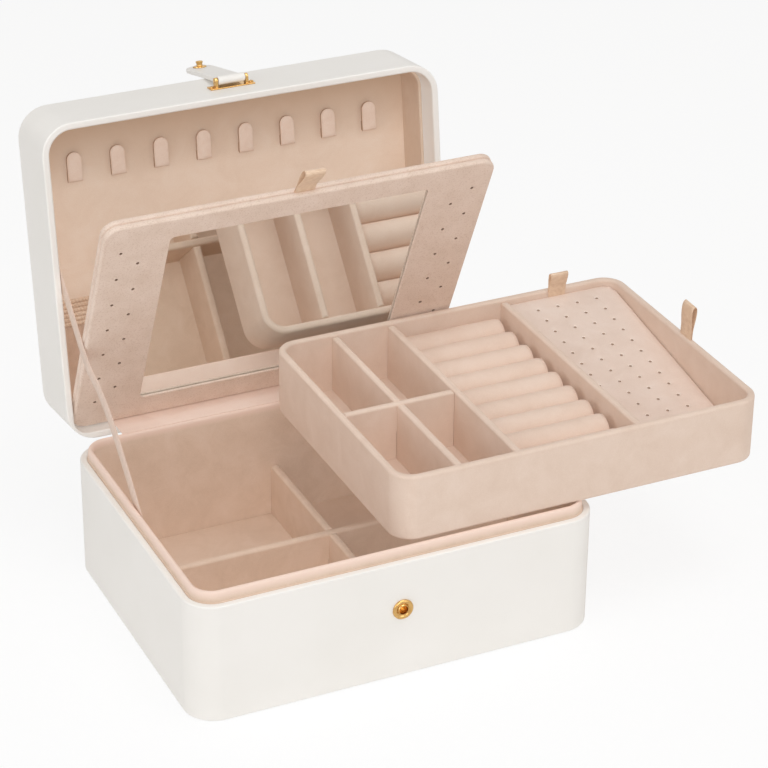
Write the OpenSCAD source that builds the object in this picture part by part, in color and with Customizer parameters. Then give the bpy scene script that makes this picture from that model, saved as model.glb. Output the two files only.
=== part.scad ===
// Vanity box: a square-sided box with round corners, a hinged lid that holds a
// tilting mirror panel, and a lift-out tray. Shown open, with the mirror tilted
// forward and the tray set to the right on the rim of the box.
// Origin: centre of the underside of the base. +X right, -Y front, +Z up.

/* [Base box] */
// Width of the box over its walls
box_w = 250; // [220:1:320]
// Depth of the box, front to back
box_d = 194; // [170:1:240]
// Height of the base up to its white rim
base_h = 74.5; // [62:0.5:110]
// Outer corner radius of base and lid
corner_r = 18.5; // [14:0.5:30]
// Thickness of the wrapped board walls
wall = 4.2; // [3.2:0.1:5]
// Thickness of the bottom board
bottom_t = 3; // [2:0.1:6]
// Thickness of the padded lining on the walls
lining_t = 3.6; // [2.6:0.1:5]
// Height of the lining's lip above the white rim
lip_rise = 6.5; // [3:0.1:6.8]
// Clearance between the lip and the lid's walls
lip_gap = 0.6; // [0.4:0.1:1.2]
// Thickness of the suede-covered floor pad
floor_pad_t = 1.5; // [0.8:0.1:4]

/* [Base dividers] */
// Thickness of the dividers in the base
divider_t = 5; // [3:0.1:8]
// Height of the dividers above the floor pad, which is the tray's seat
divider_h = 34; // [20:0.5:36]
// Place of the front-to-back divider, to the right of the centre
divider_long_x = 1.5; // [-60:0.5:60]
// Place of the side-to-side divider, behind the centre
divider_cross_y = 4; // [-50:0.5:50]
// Clearance of a divider at its ends and in its halving joint
divider_fit = 0.2; // [0.1:0.05:0.5]

/* [Lid] */
// Height of the lid, from its rim to its outer top
lid_h = 45; // [42:0.5:60]
// Thickness of the lid's top board
lid_top_t = 3.5; // [2.5:0.1:6]
// Thickness of the suede-covered panel inside the lid's top
lid_panel_t = 1.5; // [1:0.1:3]
// Thickness of the lining on the lid's walls
lid_lining_t = 2; // [1:0.1:3]
// Depth of the bare band between the lid's rim and its lining
lining_ledge = 15; // [13:0.1:18]
// Gap between the two rims when the lid is shut
rim_gap = 0.8; // [0.4:0.1:1.6]
// Inner corner radius of the lid beside the hinges, where the mirror's pins turn
lid_back_r = 9; // [7:0.5:12]
// Angle of the open lid, from shut
lid_open = 97.5; // [92:0.5:105]

/* [Hinges] */
// Distance of the hinge axis behind the back wall
hinge_off = 2; // [1.8:0.1:2.6]
// Distance of each hinge from the middle of the box
hinge_x = 70; // [40:1:80]
// Width of a hinge
hinge_w = 30; // [22:1:40]
// Height of a hinge leaf from the axis
leaf_h = 13; // [11:0.5:16]
// Thickness of a hinge leaf
leaf_t = 0.8; // [0.5:0.1:1]
// Radius of the hinge knuckles
knuckle_r = 1.85; // [1.5:0.05:1.9]
// Radius of the hinge pins
hinge_pin_r = 0.8; // [0.5:0.05:1]
// Width of the fabric that covers the hinge gap
cover_w = 190; // [150:1:200]
// Thickness of the hinge cover fabric
cover_t = 0.5; // [0.3:0.1:0.6]

/* [Stay ribbon] */
// Width of the ribbon that stops the lid
ribbon_w = 10; // [6:0.5:12]
// Thickness of the ribbon
ribbon_t = 0.4; // [0.2:0.05:0.5]
// Height of the ribbon's lid end above the lid's back wall
ribbon_lid_h = 110; // [70:1:140]
// Place of the ribbon's base end, behind the centre of the box
ribbon_base_y = 8; // [-40:1:40]

/* [Mirror panel] */
// Height of the mirror panel
panel_h = 179; // [150:1:181]
// Thickness of each of its two boards
ply_t = 3.8; // [3.2:0.1:4.2]
// Corner radius of the panel
panel_r = 9.5; // [7:0.5:14]
// Gap between the panel's sides and the lid's walls
panel_side_gap = 0.8; // [0.6:0.1:1.2]
// Gap between the folded panel's foot and the lid's back wall
panel_foot_gap = 2.2; // [2.1:0.1:3]
// Gap between the folded panel and the edge of the lid's lining
ledge_gap = 0.2; // [0.15:0.05:0.5]
// Height of the pivot above the panel's foot
pivot_up = 2.2; // [1.9:0.1:2.6]
// Radius of the pivot pins
pivot_r = 1; // [0.7:0.05:1.2]
// Length of a pivot pin inside the panel, from the panel's side
pivot_in = 16; // [12:1:30]
// Wall left outside the blind pivot holes, which lie in the lid's round corners
pivot_wall = 0.4; // [0.3:0.1:1]
// Running clearance around a hinge or pivot pin
run_gap = 0.06; // [0.02:0.01:0.09]
// Angle of the panel, forward from the lid
panel_tilt = 32.4; // [10:0.1:35]

/* [Mirror and earring holes] */
// Width of the window in the panel's front board
window_w = 159; // [130:1:162]
// Distance of the window's upper edge below the panel's top
window_top = 15.7; // [13:0.1:40]
// Height of the window's lower edge above the panel's foot
window_low = 18.3; // [15:0.1:22]
// Corner radius of the window
window_r = 3; // [1:0.5:8]
// Thickness of the mirror glass
glass_t = 2; // [1:0.1:2.4]
// Width of the frame's lap over the glass
glass_lap = 3; // [2:0.1:5]
// Clearance around the glass in its rebate
glass_fit = 0.2; // [0.1:0.05:0.5]
// Diameter of the earring holes
earring_d = 1.8; // [1:0.1:2.5]
// Distance of the outer column of holes from the panel's side
column_edge = 11.7; // [9:0.1:14]
// Distance between the outer and the inner column
column_step = 11.3; // [9:0.1:13]
// Distance between two holes in a column
hole_step = 22.4; // [18:0.1:26]
// Holes in the outer column; the inner column has one fewer
hole_rows = 7; // [4:1:7]
// Distance of the first hole below the panel's top
hole_top = 21.5; // [18:0.1:28]

/* [Hooks and pouch in the lid] */
// Number of necklace hooks
hook_count = 8; // [4:1:8]
// Distance between two hooks
hook_step = 27.1; // [20:0.1:28]
// Width of a hook
hook_w = 9.5; // [6:0.1:12]
// Length of a hook
hook_l = 19; // [14:0.5:22]
// Height of the hooks' lower ends above the lid's back wall
hook_low = 147; // [120:1:155]
// Distance that a hook stands off the lid's panel
hook_off = 4; // [3:0.1:6]
// Thickness of a hook's tongue
hook_t = 1.6; // [1:0.1:2]
// Height of the pouch's mouth above the lid's back wall
pouch_h = 77; // [60:1:100]
// Depth of the pouch, out from the lid's panel
pouch_d = 8.5; // [7:0.1:12]
// Thickness of the pouch's gathered fabric
pouch_t = 1.2; // [0.8:0.1:1.6]
// Height of the shirred elastic at the pouch's mouth
elastic_h = 9; // [5:0.5:14]

/* [Clasp] */
// Distance of the clasp's bar above the lid's rim
clasp_up = 20; // [14:0.5:26]
// Distance of the bar in front of the front wall
bar_off = 4.5; // [4:0.1:5.5]
// Radius of the bar
bar_r = 1; // [0.6:0.05:1.2]
// Width of the clasp's plate
plate_w = 28; // [26:0.5:34]
// Height of the plate
plate_h = 7.2; // [5:0.1:10]
// Thickness of the plate
plate_t = 0.8; // [0.5:0.1:1]
// Thickness of the two posts that hold the bar
post_t = 1.8; // [1.2:0.1:2.2]
// Width of the strap
strap_w = 16.8; // [12:0.1:17]
// Thickness of the strap
strap_t = 2.6; // [2.2:0.1:3]
// Radius of the strap's eye around the bar
eye_r = 2.6; // [2.4:0.1:3]
// Distance of the snap's centre below the base's rim
snap_down = 30.2; // [22:0.1:34]
// Diameter of the snap's cap and of its socket
snap_d = 12.6; // [10:0.1:14]
// Distance of the strap's round end past the snap
strap_end = 8; // [6:0.1:8.4]
// Radius of the snap's nose
nose_r = 2.2; // [1.6:0.1:2.4]
// Clearance of the nose in its socket
nose_gap = 0.4; // [0.3:0.05:0.6]
// Angle of the strap laid back over the lid, from hanging down
strap_back = 186.8; // [90:0.1:187]

/* [Tray] */
// Height of the tray
tray_h = 41; // [34:0.5:42]
// Gap between the stowed tray and the lining
tray_gap = 0.4; // [0.3:0.1:1.5]
// Outer corner radius of the tray
tray_r = 14; // [11:0.5:20]
// Thickness of the tray's walls
tray_wall = 4.5; // [3:0.1:6]
// Thickness of the tray's bottom board
tray_bottom_t = 2; // [1.5:0.1:4]
// Thickness of the tray's floor lining
tray_pad_t = 1.5; // [0.8:0.1:3]
// Thickness of the tray's dividers
tray_div_t = 4.5; // [3:0.1:6]
// Distance of the dividers' tops below the tray's rim
tray_div_drop = 1.5; // [0.5:0.1:6]
// Place of the first front-to-back divider, left of the tray's centre
tray_div_a = 77; // [70:0.5:90]
// Place of the second front-to-back divider, left of the centre
tray_div_b = 40; // [30:0.5:50]
// Place of the third front-to-back divider, right of the centre
tray_div_c = 37; // [25:0.5:45]
// Place of the side-to-side divider, in front of the centre
tray_div_cross = 5; // [-30:0.5:30]
// Distance that the tray is set to the right of its stowed place
tray_out = 117.15; // [60:0.5:118]
// Gap under the tray where it stands on the lip
tray_seat = 0.2; // [0.1:0.05:0.4]

/* [Ring rolls and earring pad] */
// Number of ring rolls
roll_count = 9; // [6:1:11]
// Distance of the rolls' crests below the tray's rim
roll_drop = 8; // [6:0.5:14]
// Gap between two rolls
roll_gap = 0.3; // [0.2:0.1:1]
// Gap between the rolls' ends and the third divider
roll_end_gap = 3; // [1:0.5:8]
// Thickness of the earring pad
pad_t = 3; // [2:0.1:5]
// Slope of the earring pad, down to the front
pad_slope = 9.7; // [4:0.1:11]
// Distance of the pad's high edge below the tray's rim
pad_drop = 4; // [3:0.5:8]
// Clearance around the pad
pad_fit = 0.3; // [0.2:0.1:0.6]
// Columns of holes in the pad
pad_columns = 4; // [2:1:5]
// Rows of holes in the pad
pad_rows = 14; // [8:1:14]
// Distance between two columns
pad_column_step = 13.7; // [10:0.1:14]
// Distance between two rows, along the slope
pad_row_step = 11.5; // [9:0.1:11.6]
// Thickness of the ledges under the pad
ledge_t = 2; // [1.5:0.1:4]

/* [Pull tabs] */
// Width of a tray tab
tab_w = 12; // [8:0.5:16]
// Thickness of a tab's folded ribbon
tab_t = 1.2; // [0.8:0.1:1.6]
// Height of the tab on the tray's back wall
tab_back_h = 11; // [8:0.5:24]
// Height of the tab on the tray's right wall
tab_right_h = 22; // [8:0.5:24]
// Place of the back tab, right of the tray's centre
tab_back_x = 73.5; // [40:0.5:90]
// Place of the right tab, in front of the tray's centre
tab_right_y = 4; // [-30:0.5:30]
// Width of the mirror panel's tab
mirror_tab_w = 14; // [10:0.5:20]
// Height of the mirror panel's tab
mirror_tab_h = 24; // [14:0.5:28]

/* [Screws] */
// Radius of a screw's head
screw_head_r = 1.7; // [1.4:0.1:2]
// Height of a screw's head
screw_head_h = 0.7; // [0.4:0.1:1]
// Radius of a screw's shank
screw_r = 0.9; // [0.6:0.1:1]
// Length of a screw's shank
screw_l = 3.6; // [3:0.1:4]

/* [Hidden] */
$fn = 48;
cut = 0.5;            // overshoot of a cutting shape past the face it opens

inner_w = box_w - 2 * wall;
inner_d = box_d - 2 * wall;
inner_r = corner_r - wall;
open_w = inner_w - 2 * lining_t;
open_d = inner_d - 2 * lining_t;
open_r = inner_r - lining_t;
floor_z = bottom_t + floor_pad_t;
divider_top = floor_z + divider_h;
lip_z = base_h + lip_rise;

lid_z = base_h + rim_gap;
lid_panel_z = lid_z + lid_h - lid_top_t - lid_panel_t;
hinge_y = box_d / 2 + hinge_off;
hinge_z = base_h + rim_gap / 2;
knuckle_gap = 0.3;    // end gap between two knuckles
side_knuckle = hinge_w * 0.3;
leaf_start = knuckle_r + 0.4;

panel_w = inner_w - 2 * panel_side_gap;
pivot_h = wall + panel_foot_gap + pivot_up;
pivot_depth = lining_ledge - ledge_gap - ply_t;
// how far the lower side of a pivot hole lies below the centre of the lid's outer corner
pivot_below = max(0, corner_r - pivot_h + pivot_r + run_gap);
pivot_end = box_w / 2 - corner_r + sqrt(pow(corner_r, 2) - pow(pivot_below, 2)) - pivot_wall;
pivot_play = 0.2;      // end play of a pivot pin in its hole
rebate_d = glass_t + glass_fit;
window_h = panel_h - window_low - window_top;

bar_y = -box_d / 2 - bar_off;
bar_z = lid_z + clasp_up;
snap_z = base_h - snap_down;
strap_l = bar_z - snap_z;
post_x = strap_w / 2 + 0.3 + post_t / 2;
post_r = bar_r + 0.9;
socket_t = 1.6;       // height of the snap's socket on the front wall
shank_r = nose_r + nose_gap + 1.1;
washer_t = 0.8;
washer_r = shank_r + 1.8;
socket_floor = 1.2;   // metal left at the bottom of the socket's bore
nose_reach = 3;       // length of the snap's nose past its flange
flange_t = 0.8;       // flange of the nose on the strap's inner face
cap_t = 1.4;          // cap of the snap on the strap's outer face

tray_w = open_w - 2 * tray_gap;
tray_d = open_d - 2 * tray_gap;
well_w = tray_w - 2 * tray_wall;
well_d = tray_d - 2 * tray_wall;
well_r = tray_r - tray_wall;
tray_floor = tray_bottom_t + tray_pad_t;
tray_div_top = tray_h - tray_div_drop;
roll_pitch = well_d / roll_count;
roll_r = (roll_pitch - roll_gap) / 2;
roll_x0 = -tray_div_b + tray_div_t / 2 + pad_fit;
roll_x1 = tray_div_c - tray_div_t / 2 - roll_end_gap;
pad_x0 = tray_div_c + tray_div_t / 2 + pad_fit;
pad_x1 = well_w / 2 - pad_fit;
pad_high = tray_h - pad_drop;

// x positions of the necklace hooks
hook_xs = [for (i = [0 : hook_count - 1]) (i - (hook_count - 1) / 2) * hook_step];

// A point of the open lid: x, depth in from the rim, height above the back wall
function lid_point(x, depth, h) =
    let (dy = box_d / 2 - h - hinge_y, dz = lid_z + depth - hinge_z)
    [x,
     hinge_y + dy * cos(lid_open) + dz * sin(lid_open),
     hinge_z - dy * sin(lid_open) + dz * cos(lid_open)];

// ---- shapes that repeat ----

// Rectangle with round corners, centred; back_r is the radius on the +Y side
module rounded_rect(w, d, r, back_r) {
    square([w - 2 * max(r, back_r), d], center = true);
    translate([-w / 2, -d / 2 + r]) square([w, d - r - back_r]);
    for (x = [-1, 1]) {
        translate([x * (w / 2 - r), -d / 2 + r]) circle(r);
        translate([x * (w / 2 - back_r), d / 2 - back_r]) circle(back_r);
        // fills in beside the smaller of the two circles
        if (back_r < r) translate([x * (w / 2 - (r + back_r) / 2), d / 2 - back_r])
            square([r - back_r, 2 * back_r], center = true);
    }
}

module slab(w, d, r, h, back_r = undef) {
    linear_extrude(h) rounded_rect(w, d, r, is_undef(back_r) ? r : back_r);
}

// Upright wall of thickness t that follows a rounded rectangle
module wall_ring(w, d, r, t, h) {
    difference() {
        slab(w, d, r, h);
        translate([0, 0, -cut]) slab(w - 2 * t, d - 2 * t, r - t, h + 2 * cut);
    }
}

// Slab that fills the lid's inside, drawn in by t from its walls
module lid_fill(t, h) {
    slab(inner_w - 2 * t, inner_d - 2 * t, inner_r - t, h, lid_back_r - t);
}

// Cylinder along X, centred
module rod(r, l) {
    rotate([0, 90, 0]) cylinder(r = r, h = l, center = true);
}

// Puts what is drawn on the shut lid where the open lid has it
module on_lid() {
    translate([0, hinge_y, hinge_z]) rotate([-lid_open, 0, 0])
        translate([0, -hinge_y, -hinge_z]) children();
}

// Puts what is drawn upright about the mirror's pivot on the tilted panel.
// The panel's face looks to -Y and its foot is pivot_up below the pivot.
module on_panel() {
    on_lid() translate([0, box_d / 2 - pivot_h, lid_z + pivot_depth])
        rotate([90 + panel_tilt, 0, 0]) children();
}

// Puts what is drawn on the hanging strap, about the bar, where the strap lies
module on_strap() {
    on_lid() translate([0, bar_y, bar_z]) rotate([-strap_back, 0, 0]) children();
}

module on_tray() {
    translate([tray_out, 0, lip_z + tray_seat]) children();
}

// Screw with its head's seat at the origin and its shank along +Y
module screw() {
    rotate([90, 0, 0]) cylinder(r = screw_head_r, h = screw_head_h);
    rotate([-90, 0, 0]) cylinder(r = screw_r, h = screw_l);
}

module screw_hole(depth) {
    rotate([-90, 0, 0]) translate([0, 0, -cut]) cylinder(r = screw_r, h = depth + cut);
}

// ---- base ----

module base_shell() {
    color("whitesmoke") difference() {
        wall_ring(box_w, box_d, corner_r, wall, base_h);
        translate([0, -box_d / 2 - cut, snap_z]) rotate([-90, 0, 0])
            cylinder(r = shank_r, h = wall + 2 * cut);
        translate([0, -box_d / 2 + wall - washer_t, snap_z]) rotate([-90, 0, 0])
            cylinder(r = washer_r, h = washer_t + cut);
        for (p = hinge_screw_places) translate([p[0], box_d / 2, hinge_z - p[1]])
            rotate([0, 0, 180]) screw_hole(screw_l - leaf_t);
    }
}

module base_bottom() {
    color("linen") slab(inner_w, inner_d, inner_r, bottom_t);
}

// Padded lining of the walls; its lip stands above the white rim
module base_lining() {
    lip_r = inner_r - lip_gap;
    color("peachpuff") difference() {
        union() {
            translate([0, 0, bottom_t])
                slab(inner_w, inner_d, inner_r, base_h - bottom_t);
            translate([0, 0, bottom_t])
                slab(inner_w - 2 * lip_gap, inner_d - 2 * lip_gap, lip_r, lip_z - bottom_t);
        }
        slab(open_w, open_d, open_r, lip_z + cut);
    }
}

module base_floor_pad() {
    color("peachpuff") translate([0, 0, bottom_t]) slab(open_w, open_d, open_r, floor_pad_t);
}

module base_divider_long() {
    color("tan") difference() {
        translate([divider_long_x - divider_t / 2, -open_d / 2 + divider_fit, floor_z])
            cube([divider_t, open_d - 2 * divider_fit, divider_h]);
        translate([divider_long_x, divider_cross_y, floor_z + divider_h * 0.75])
            cube([divider_t + 2, divider_t + 2 * divider_fit, divider_h / 2 + cut], center = true);
    }
}

module base_divider_cross() {
    color("tan") difference() {
        translate([-open_w / 2 + divider_fit, divider_cross_y - divider_t / 2, floor_z])
            cube([open_w - 2 * divider_fit, divider_t, divider_h]);
        translate([divider_long_x, divider_cross_y, floor_z + divider_h / 4 - cut / 2])
            cube([divider_t + 2 * divider_fit, divider_t + 2, divider_h / 2 + cut], center = true);
    }
}

// Lower half of the snap: a flange on the wall, and a shank with a blind bore
module snap_socket() {
    bore_r = nose_r + nose_gap;
    color("goldenrod") translate([0, -box_d / 2, snap_z]) rotate([90, 0, 0]) difference() {
        union() {
            cylinder(r = snap_d / 2, h = socket_t);
            translate([0, 0, -wall]) cylinder(r = shank_r, h = wall);
        }
        translate([0, 0, socket_floor - wall]) cylinder(r = bore_r, h = wall + socket_t);
    }
}

module snap_washer() {
    color("goldenrod") translate([0, -box_d / 2 + wall - washer_t, snap_z]) rotate([-90, 0, 0])
        difference() {
            cylinder(r = washer_r, h = washer_t);
            translate([0, 0, -cut]) cylinder(r = shank_r, h = washer_t + 2 * cut);
        }
}

// ---- hinges ----

screw_drop = leaf_start + (leaf_h - leaf_start) / 2;
// each hinge screw: its x and its distance from the hinge axis
hinge_screw_places = [for (s = [-1, 1], e = [-1, 1])
    [s * hinge_x + e * (hinge_w / 2 - 2 * screw_head_r - 1), screw_drop]];

// Leaf below the axis with its knuckles at the given spans of x
module hinge_leaf(spans, bore_r) {
    difference() {
        union() {
            translate([-hinge_w / 2, -hinge_off, -leaf_h])
                cube([hinge_w, leaf_t, leaf_h - leaf_start]);
            for (s = spans) {
                translate([(s[0] + s[1]) / 2, 0, 0]) rod(knuckle_r, s[1] - s[0]);
                translate([s[0], -hinge_off, -leaf_start - cut])
                    cube([s[1] - s[0], leaf_t, leaf_start + cut]);
            }
        }
        rod(bore_r, hinge_w + 2 * cut);
        for (p = [-1, 1])
            translate([p * (hinge_w / 2 - 2 * screw_head_r - 1), 0, -screw_drop])
                rotate([90, 0, 0]) cylinder(r = screw_r, h = hinge_off + cut);
    }
}

module base_leaf(side) {
    h = hinge_w / 2;
    color("gold") translate([side * hinge_x, hinge_y, hinge_z])
        hinge_leaf([[-h, -h + side_knuckle], [h - side_knuckle, h]], hinge_pin_r);
}

module lid_leaf(side) {
    h = hinge_w / 2 - side_knuckle - knuckle_gap;
    color("gold") on_lid() translate([side * hinge_x, hinge_y, hinge_z])
        mirror([0, 0, 1]) hinge_leaf([[-h, h]], hinge_pin_r + run_gap);
}

module hinge_leaf_base_left() { base_leaf(-1); }
module hinge_leaf_base_right() { base_leaf(1); }
module hinge_leaf_lid_left() { lid_leaf(-1); }
module hinge_leaf_lid_right() { lid_leaf(1); }

module hinge_pin(side) {
    color("gold") translate([side * hinge_x, hinge_y, hinge_z]) rod(hinge_pin_r, hinge_w);
}

module hinge_pin_left() { hinge_pin(-1); }
module hinge_pin_right() { hinge_pin(1); }

module hinge_screws_base() {
    color("gold") for (p = hinge_screw_places)
        translate([p[0], box_d / 2 + leaf_t, hinge_z - p[1]]) rotate([0, 0, 180]) screw();
}

module hinge_screws_lid() {
    color("gold") on_lid() for (p = hinge_screw_places)
        translate([p[0], box_d / 2 + leaf_t, hinge_z + p[1]]) rotate([0, 0, 180]) screw();
}

// Fabric from the top of the lip, over the hinge gap, onto the lid's back wall
module hinge_cover() {
    skin_gap = 0.15;
    reach = pivot_depth - ply_t - 1;
    bend = lid_point(0, 0, wall + skin_gap);
    lip_mid = inner_d / 2 - lip_gap - lining_t * 0.6;
    color("pink") {
        translate([-cover_w / 2, lip_mid, lip_z])
            cube([cover_w, bend[1] - lip_mid, cover_t]);
        on_lid() translate([-cover_w / 2, box_d / 2 - wall - skin_gap - cover_t, lid_z])
            cube([cover_w, cover_t, reach]);
    }
}

// ---- stay ribbon ----

// Stations of the ribbon: its middle and its direction across. It runs down beside
// the panel first, and then leans in to the inner edge of the lip.
ribbon_gap_x = -inner_w / 2 + panel_side_gap / 2;
ribbon_beside = 0.5;    // share of the run that lies beside the panel
ribbon_top = lid_point(ribbon_gap_x, pivot_depth - ply_t / 2, ribbon_lid_h);
ribbon_lip = [-open_w / 2 + ribbon_t, ribbon_base_y, lip_z + ribbon_t];
ribbon_outer_x = -inner_w / 2 + lip_gap - ribbon_t;
ribbon_run = [0, ribbon_lip[1] - ribbon_top[1], ribbon_lip[2] - ribbon_top[2]];
ribbon_across = cross([1, 0, 0], ribbon_run) / norm(ribbon_run);
ribbon_turn = (ribbon_across + [0, 1, 0]) / norm(ribbon_across + [0, 1, 0]);
function ribbon_at(t) =
    let (lean = max(0, (t - ribbon_beside) / (1 - ribbon_beside)))
    ribbon_top + ribbon_run * t + [(ribbon_lip[0] - ribbon_gap_x) * lean, 0, 0];
RIBBON = [
    [ribbon_top, ribbon_across],
    [ribbon_at(ribbon_beside / 2), ribbon_across],
    [ribbon_at(ribbon_beside), ribbon_across],
    [ribbon_at(0.85), ribbon_turn],
    [ribbon_lip, [0, 1, 0]],
    [[ribbon_outer_x, ribbon_base_y - 4, lip_z + ribbon_t], [0, 1, 0]],
    [[ribbon_outer_x, ribbon_base_y - 6, base_h + ribbon_t], [0, 1, 0]]
];

// Corners of the ribbon at station i, square to its run there
function ribbon_corners(i) =
    let (a = RIBBON[max(i - 1, 0)][0], b = RIBBON[min(i + 1, len(RIBBON) - 1)][0],
         n = cross(RIBBON[i][1], b - a), u = n / norm(n) * ribbon_t / 2,
         w = RIBBON[i][1] * ribbon_w / 2, p = RIBBON[i][0])
    [p - w - u, p + w - u, p + w + u, p - w + u];

module stay_ribbon() {
    n = len(RIBBON);
    color("burlywood") polyhedron(
        points = [for (i = [0 : n - 1]) each ribbon_corners(i)],
        faces = concat(
            [[0, 1, 2], [0, 2, 3]],
            [for (i = [0 : n - 2], k = [0 : 3]) let (a = 4 * i + k, b = 4 * i + (k + 1) % 4)
                each [[a, a + 4, b + 4], [a, b + 4, b]]],
            [[4 * n - 4, 4 * n - 2, 4 * n - 3], [4 * n - 4, 4 * n - 1, 4 * n - 2]]));
}

// ---- lid, drawn shut and turned open ----

module lid_shell() {
    color("whitesmoke") on_lid() difference() {
        translate([0, 0, lid_z]) slab(box_w, box_d, corner_r, lid_h);
        translate([0, 0, lid_z - cut]) lid_fill(0, lid_h - lid_top_t + cut);
        translate([0, box_d / 2 - pivot_h, lid_z + pivot_depth])
            rod(pivot_r + run_gap, 2 * pivot_end);
        for (p = hinge_screw_places) translate([p[0], box_d / 2, hinge_z + p[1]])
            rotate([0, 0, 180]) screw_hole(screw_l - leaf_t);
        for (s = [-1, 1]) translate([s * clasp_screw_x, -box_d / 2, bar_z])
            screw_hole(screw_l - plate_t);
    }
}

module lid_lining() {
    h = lid_panel_z - lid_z - lining_ledge;
    color("peachpuff") on_lid() translate([0, 0, lid_z + lining_ledge]) difference() {
        lid_fill(0, h);
        translate([0, 0, -cut]) lid_fill(lid_lining_t, h + 2 * cut);
    }
}

module lid_panel() {
    color("peachpuff") on_lid() translate([0, 0, lid_panel_z]) lid_fill(0, lid_panel_t);
}

// Tongue that stands off the panel on a foot at its straight lower end
module necklace_hooks() {
    foot_l = hook_l * 0.3;
    color("peachpuff") on_lid() for (x = hook_xs)
        translate([x, box_d / 2 - hook_low, lid_panel_z - hook_off]) {
            translate([-hook_w / 2, -foot_l, 0]) cube([hook_w, foot_l, hook_off]);
            translate([-hook_w / 2, -hook_l + hook_w / 2, 0])
                cube([hook_w, hook_l - hook_w / 2, hook_t]);
            translate([0, -hook_l + hook_w / 2, 0]) cylinder(r = hook_w / 2, h = hook_t);
        }
}

// Slice of the pouch between two heights above the lid's back wall
module pouch_slice(h0, h1, t) {
    w = inner_w - 2 * lid_lining_t;
    r = pouch_d / 2;
    translate([0, box_d / 2 - h0, lid_panel_z]) rotate([90, 0, 0]) linear_extrude(h1 - h0)
        difference() {
            pouch_outline(w, pouch_d, r);
            translate([0, cut]) pouch_outline(w - 2 * t, pouch_d - t + cut, r - t);
        }
}

// Outline that hangs below y = 0 with two round lower corners
module pouch_outline(w, d, r) {
    translate([-w / 2, -d + r]) square([w, d - r]);
    translate([-w / 2 + r, -d]) square([w - 2 * r, d]);
    for (x = [-1, 1]) translate([x * (w / 2 - r), -d + r]) circle(r);
}

module pouch() {
    foot = wall + lid_lining_t;
    color("peachpuff") on_lid() intersection() {
        union() {
            pouch_slice(foot, pouch_h - elastic_h, pouch_t);
            pouch_slice(foot, foot + pouch_t, pouch_d - cut);
        }
        lid_room();
    }
}

module pouch_elastic() {
    color("tan") on_lid() intersection() {
        pouch_slice(pouch_h - elastic_h, pouch_h, pouch_t * 1.5);
        lid_room();
    }
}

// Room inside the lid's lining
module lid_room() {
    translate([0, 0, lid_z + lining_ledge])
        lid_fill(lid_lining_t, lid_h - lining_ledge - lid_top_t);
}

// ---- clasp ----

clasp_screw_x = post_x + post_t / 2 + screw_head_r + 0.2;

// Plate on the lid's front wall with two posts for the bar
module clasp_plate() {
    color("goldenrod") on_lid() difference() {
        union() {
            translate([-plate_w / 2, -box_d / 2 - plate_t, bar_z - plate_h / 2])
                cube([plate_w, plate_t, plate_h]);
            for (s = [-1, 1]) translate([s * post_x, 0, 0]) {
                translate([0, bar_y, bar_z]) rod(post_r, post_t);
                translate([-post_t / 2, bar_y, bar_z - post_r])
                    cube([post_t, bar_off - plate_t / 2, 2 * post_r]);
            }
        }
        translate([0, bar_y, bar_z]) rod(bar_r, plate_w);
        for (s = [-1, 1]) translate([s * clasp_screw_x, -box_d / 2 - plate_t, bar_z])
            screw_hole(2 * plate_t);
    }
}

module clasp_bar() {
    color("goldenrod") on_lid() translate([0, bar_y, bar_z]) rod(bar_r, 2 * post_x + post_t);
}

module clasp_screws() {
    color("goldenrod") on_lid() for (s = [-1, 1])
        translate([s * clasp_screw_x, -box_d / 2 - plate_t, bar_z]) screw();
}

// Strap, drawn hanging from the bar with its inner face to +Y
module strap() {
    end_r = strap_w / 2;
    color("ivory") on_strap() difference() {
        union() {
            rod(eye_r, strap_w);
            translate([-strap_w / 2, -strap_t / 2, -strap_l - strap_end + end_r])
                cube([strap_w, strap_t, strap_l + strap_end - end_r]);
            translate([0, strap_t / 2, -strap_l - strap_end + end_r]) rotate([90, 0, 0])
                cylinder(r = end_r, h = strap_t);
        }
        rod(bar_r + run_gap, strap_w + 2 * cut);
        translate([0, strap_t, -strap_l]) rotate([90, 0, 0])
            cylinder(r = nose_r, h = 2 * strap_t);
    }
}

// Nose of the snap: stem through the strap, flange and round nose
module snap_stud() {
    color("goldenrod") on_strap() translate([0, 0, -strap_l]) {
        translate([0, -strap_t / 2, 0]) rotate([-90, 0, 0])
            cylinder(r = nose_r, h = strap_t + flange_t + nose_reach);
        translate([0, strap_t / 2, 0]) rotate([-90, 0, 0])
            cylinder(r = snap_d / 3, h = flange_t);
    }
}

module snap_cap() {
    color("goldenrod") on_strap() translate([0, -strap_t / 2, -strap_l])
        rotate([90, 0, 0]) cylinder(r = snap_d / 2, h = cap_t);
}

// ---- mirror panel, drawn upright about its pivot ----

// Outline of the panel, extruded from depth n0 to n1 behind its front face
module panel_board(n0, n1) {
    translate([0, n1 - ply_t, panel_h / 2 - pivot_up]) rotate([90, 0, 0])
        linear_extrude(n1 - n0) rounded_rect(panel_w, panel_h, panel_r, panel_r);
}

// Upright rounded plate: w by h, its foot at u, from depth n0 to n1
module panel_plate(w, h, r, u, n0, n1) {
    translate([0, n1 - ply_t, u + h / 2 - pivot_up]) rotate([90, 0, 0])
        linear_extrude(n1 - n0) rounded_rect(w, h, r, r);
}

// Earring holes of both margins, through both boards
module earring_holes() {
    for (s = [-1, 1], c = [0, 1], i = [0 : hole_rows - 1 - c])
        translate([s * (panel_w / 2 - column_edge - c * column_step), 0,
                   panel_h - pivot_up - hole_top - (i + c / 2) * hole_step])
            rotate([90, 0, 0]) cylinder(r = earring_d / 2, h = 4 * ply_t, center = true, $fn = 24);
}

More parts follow.
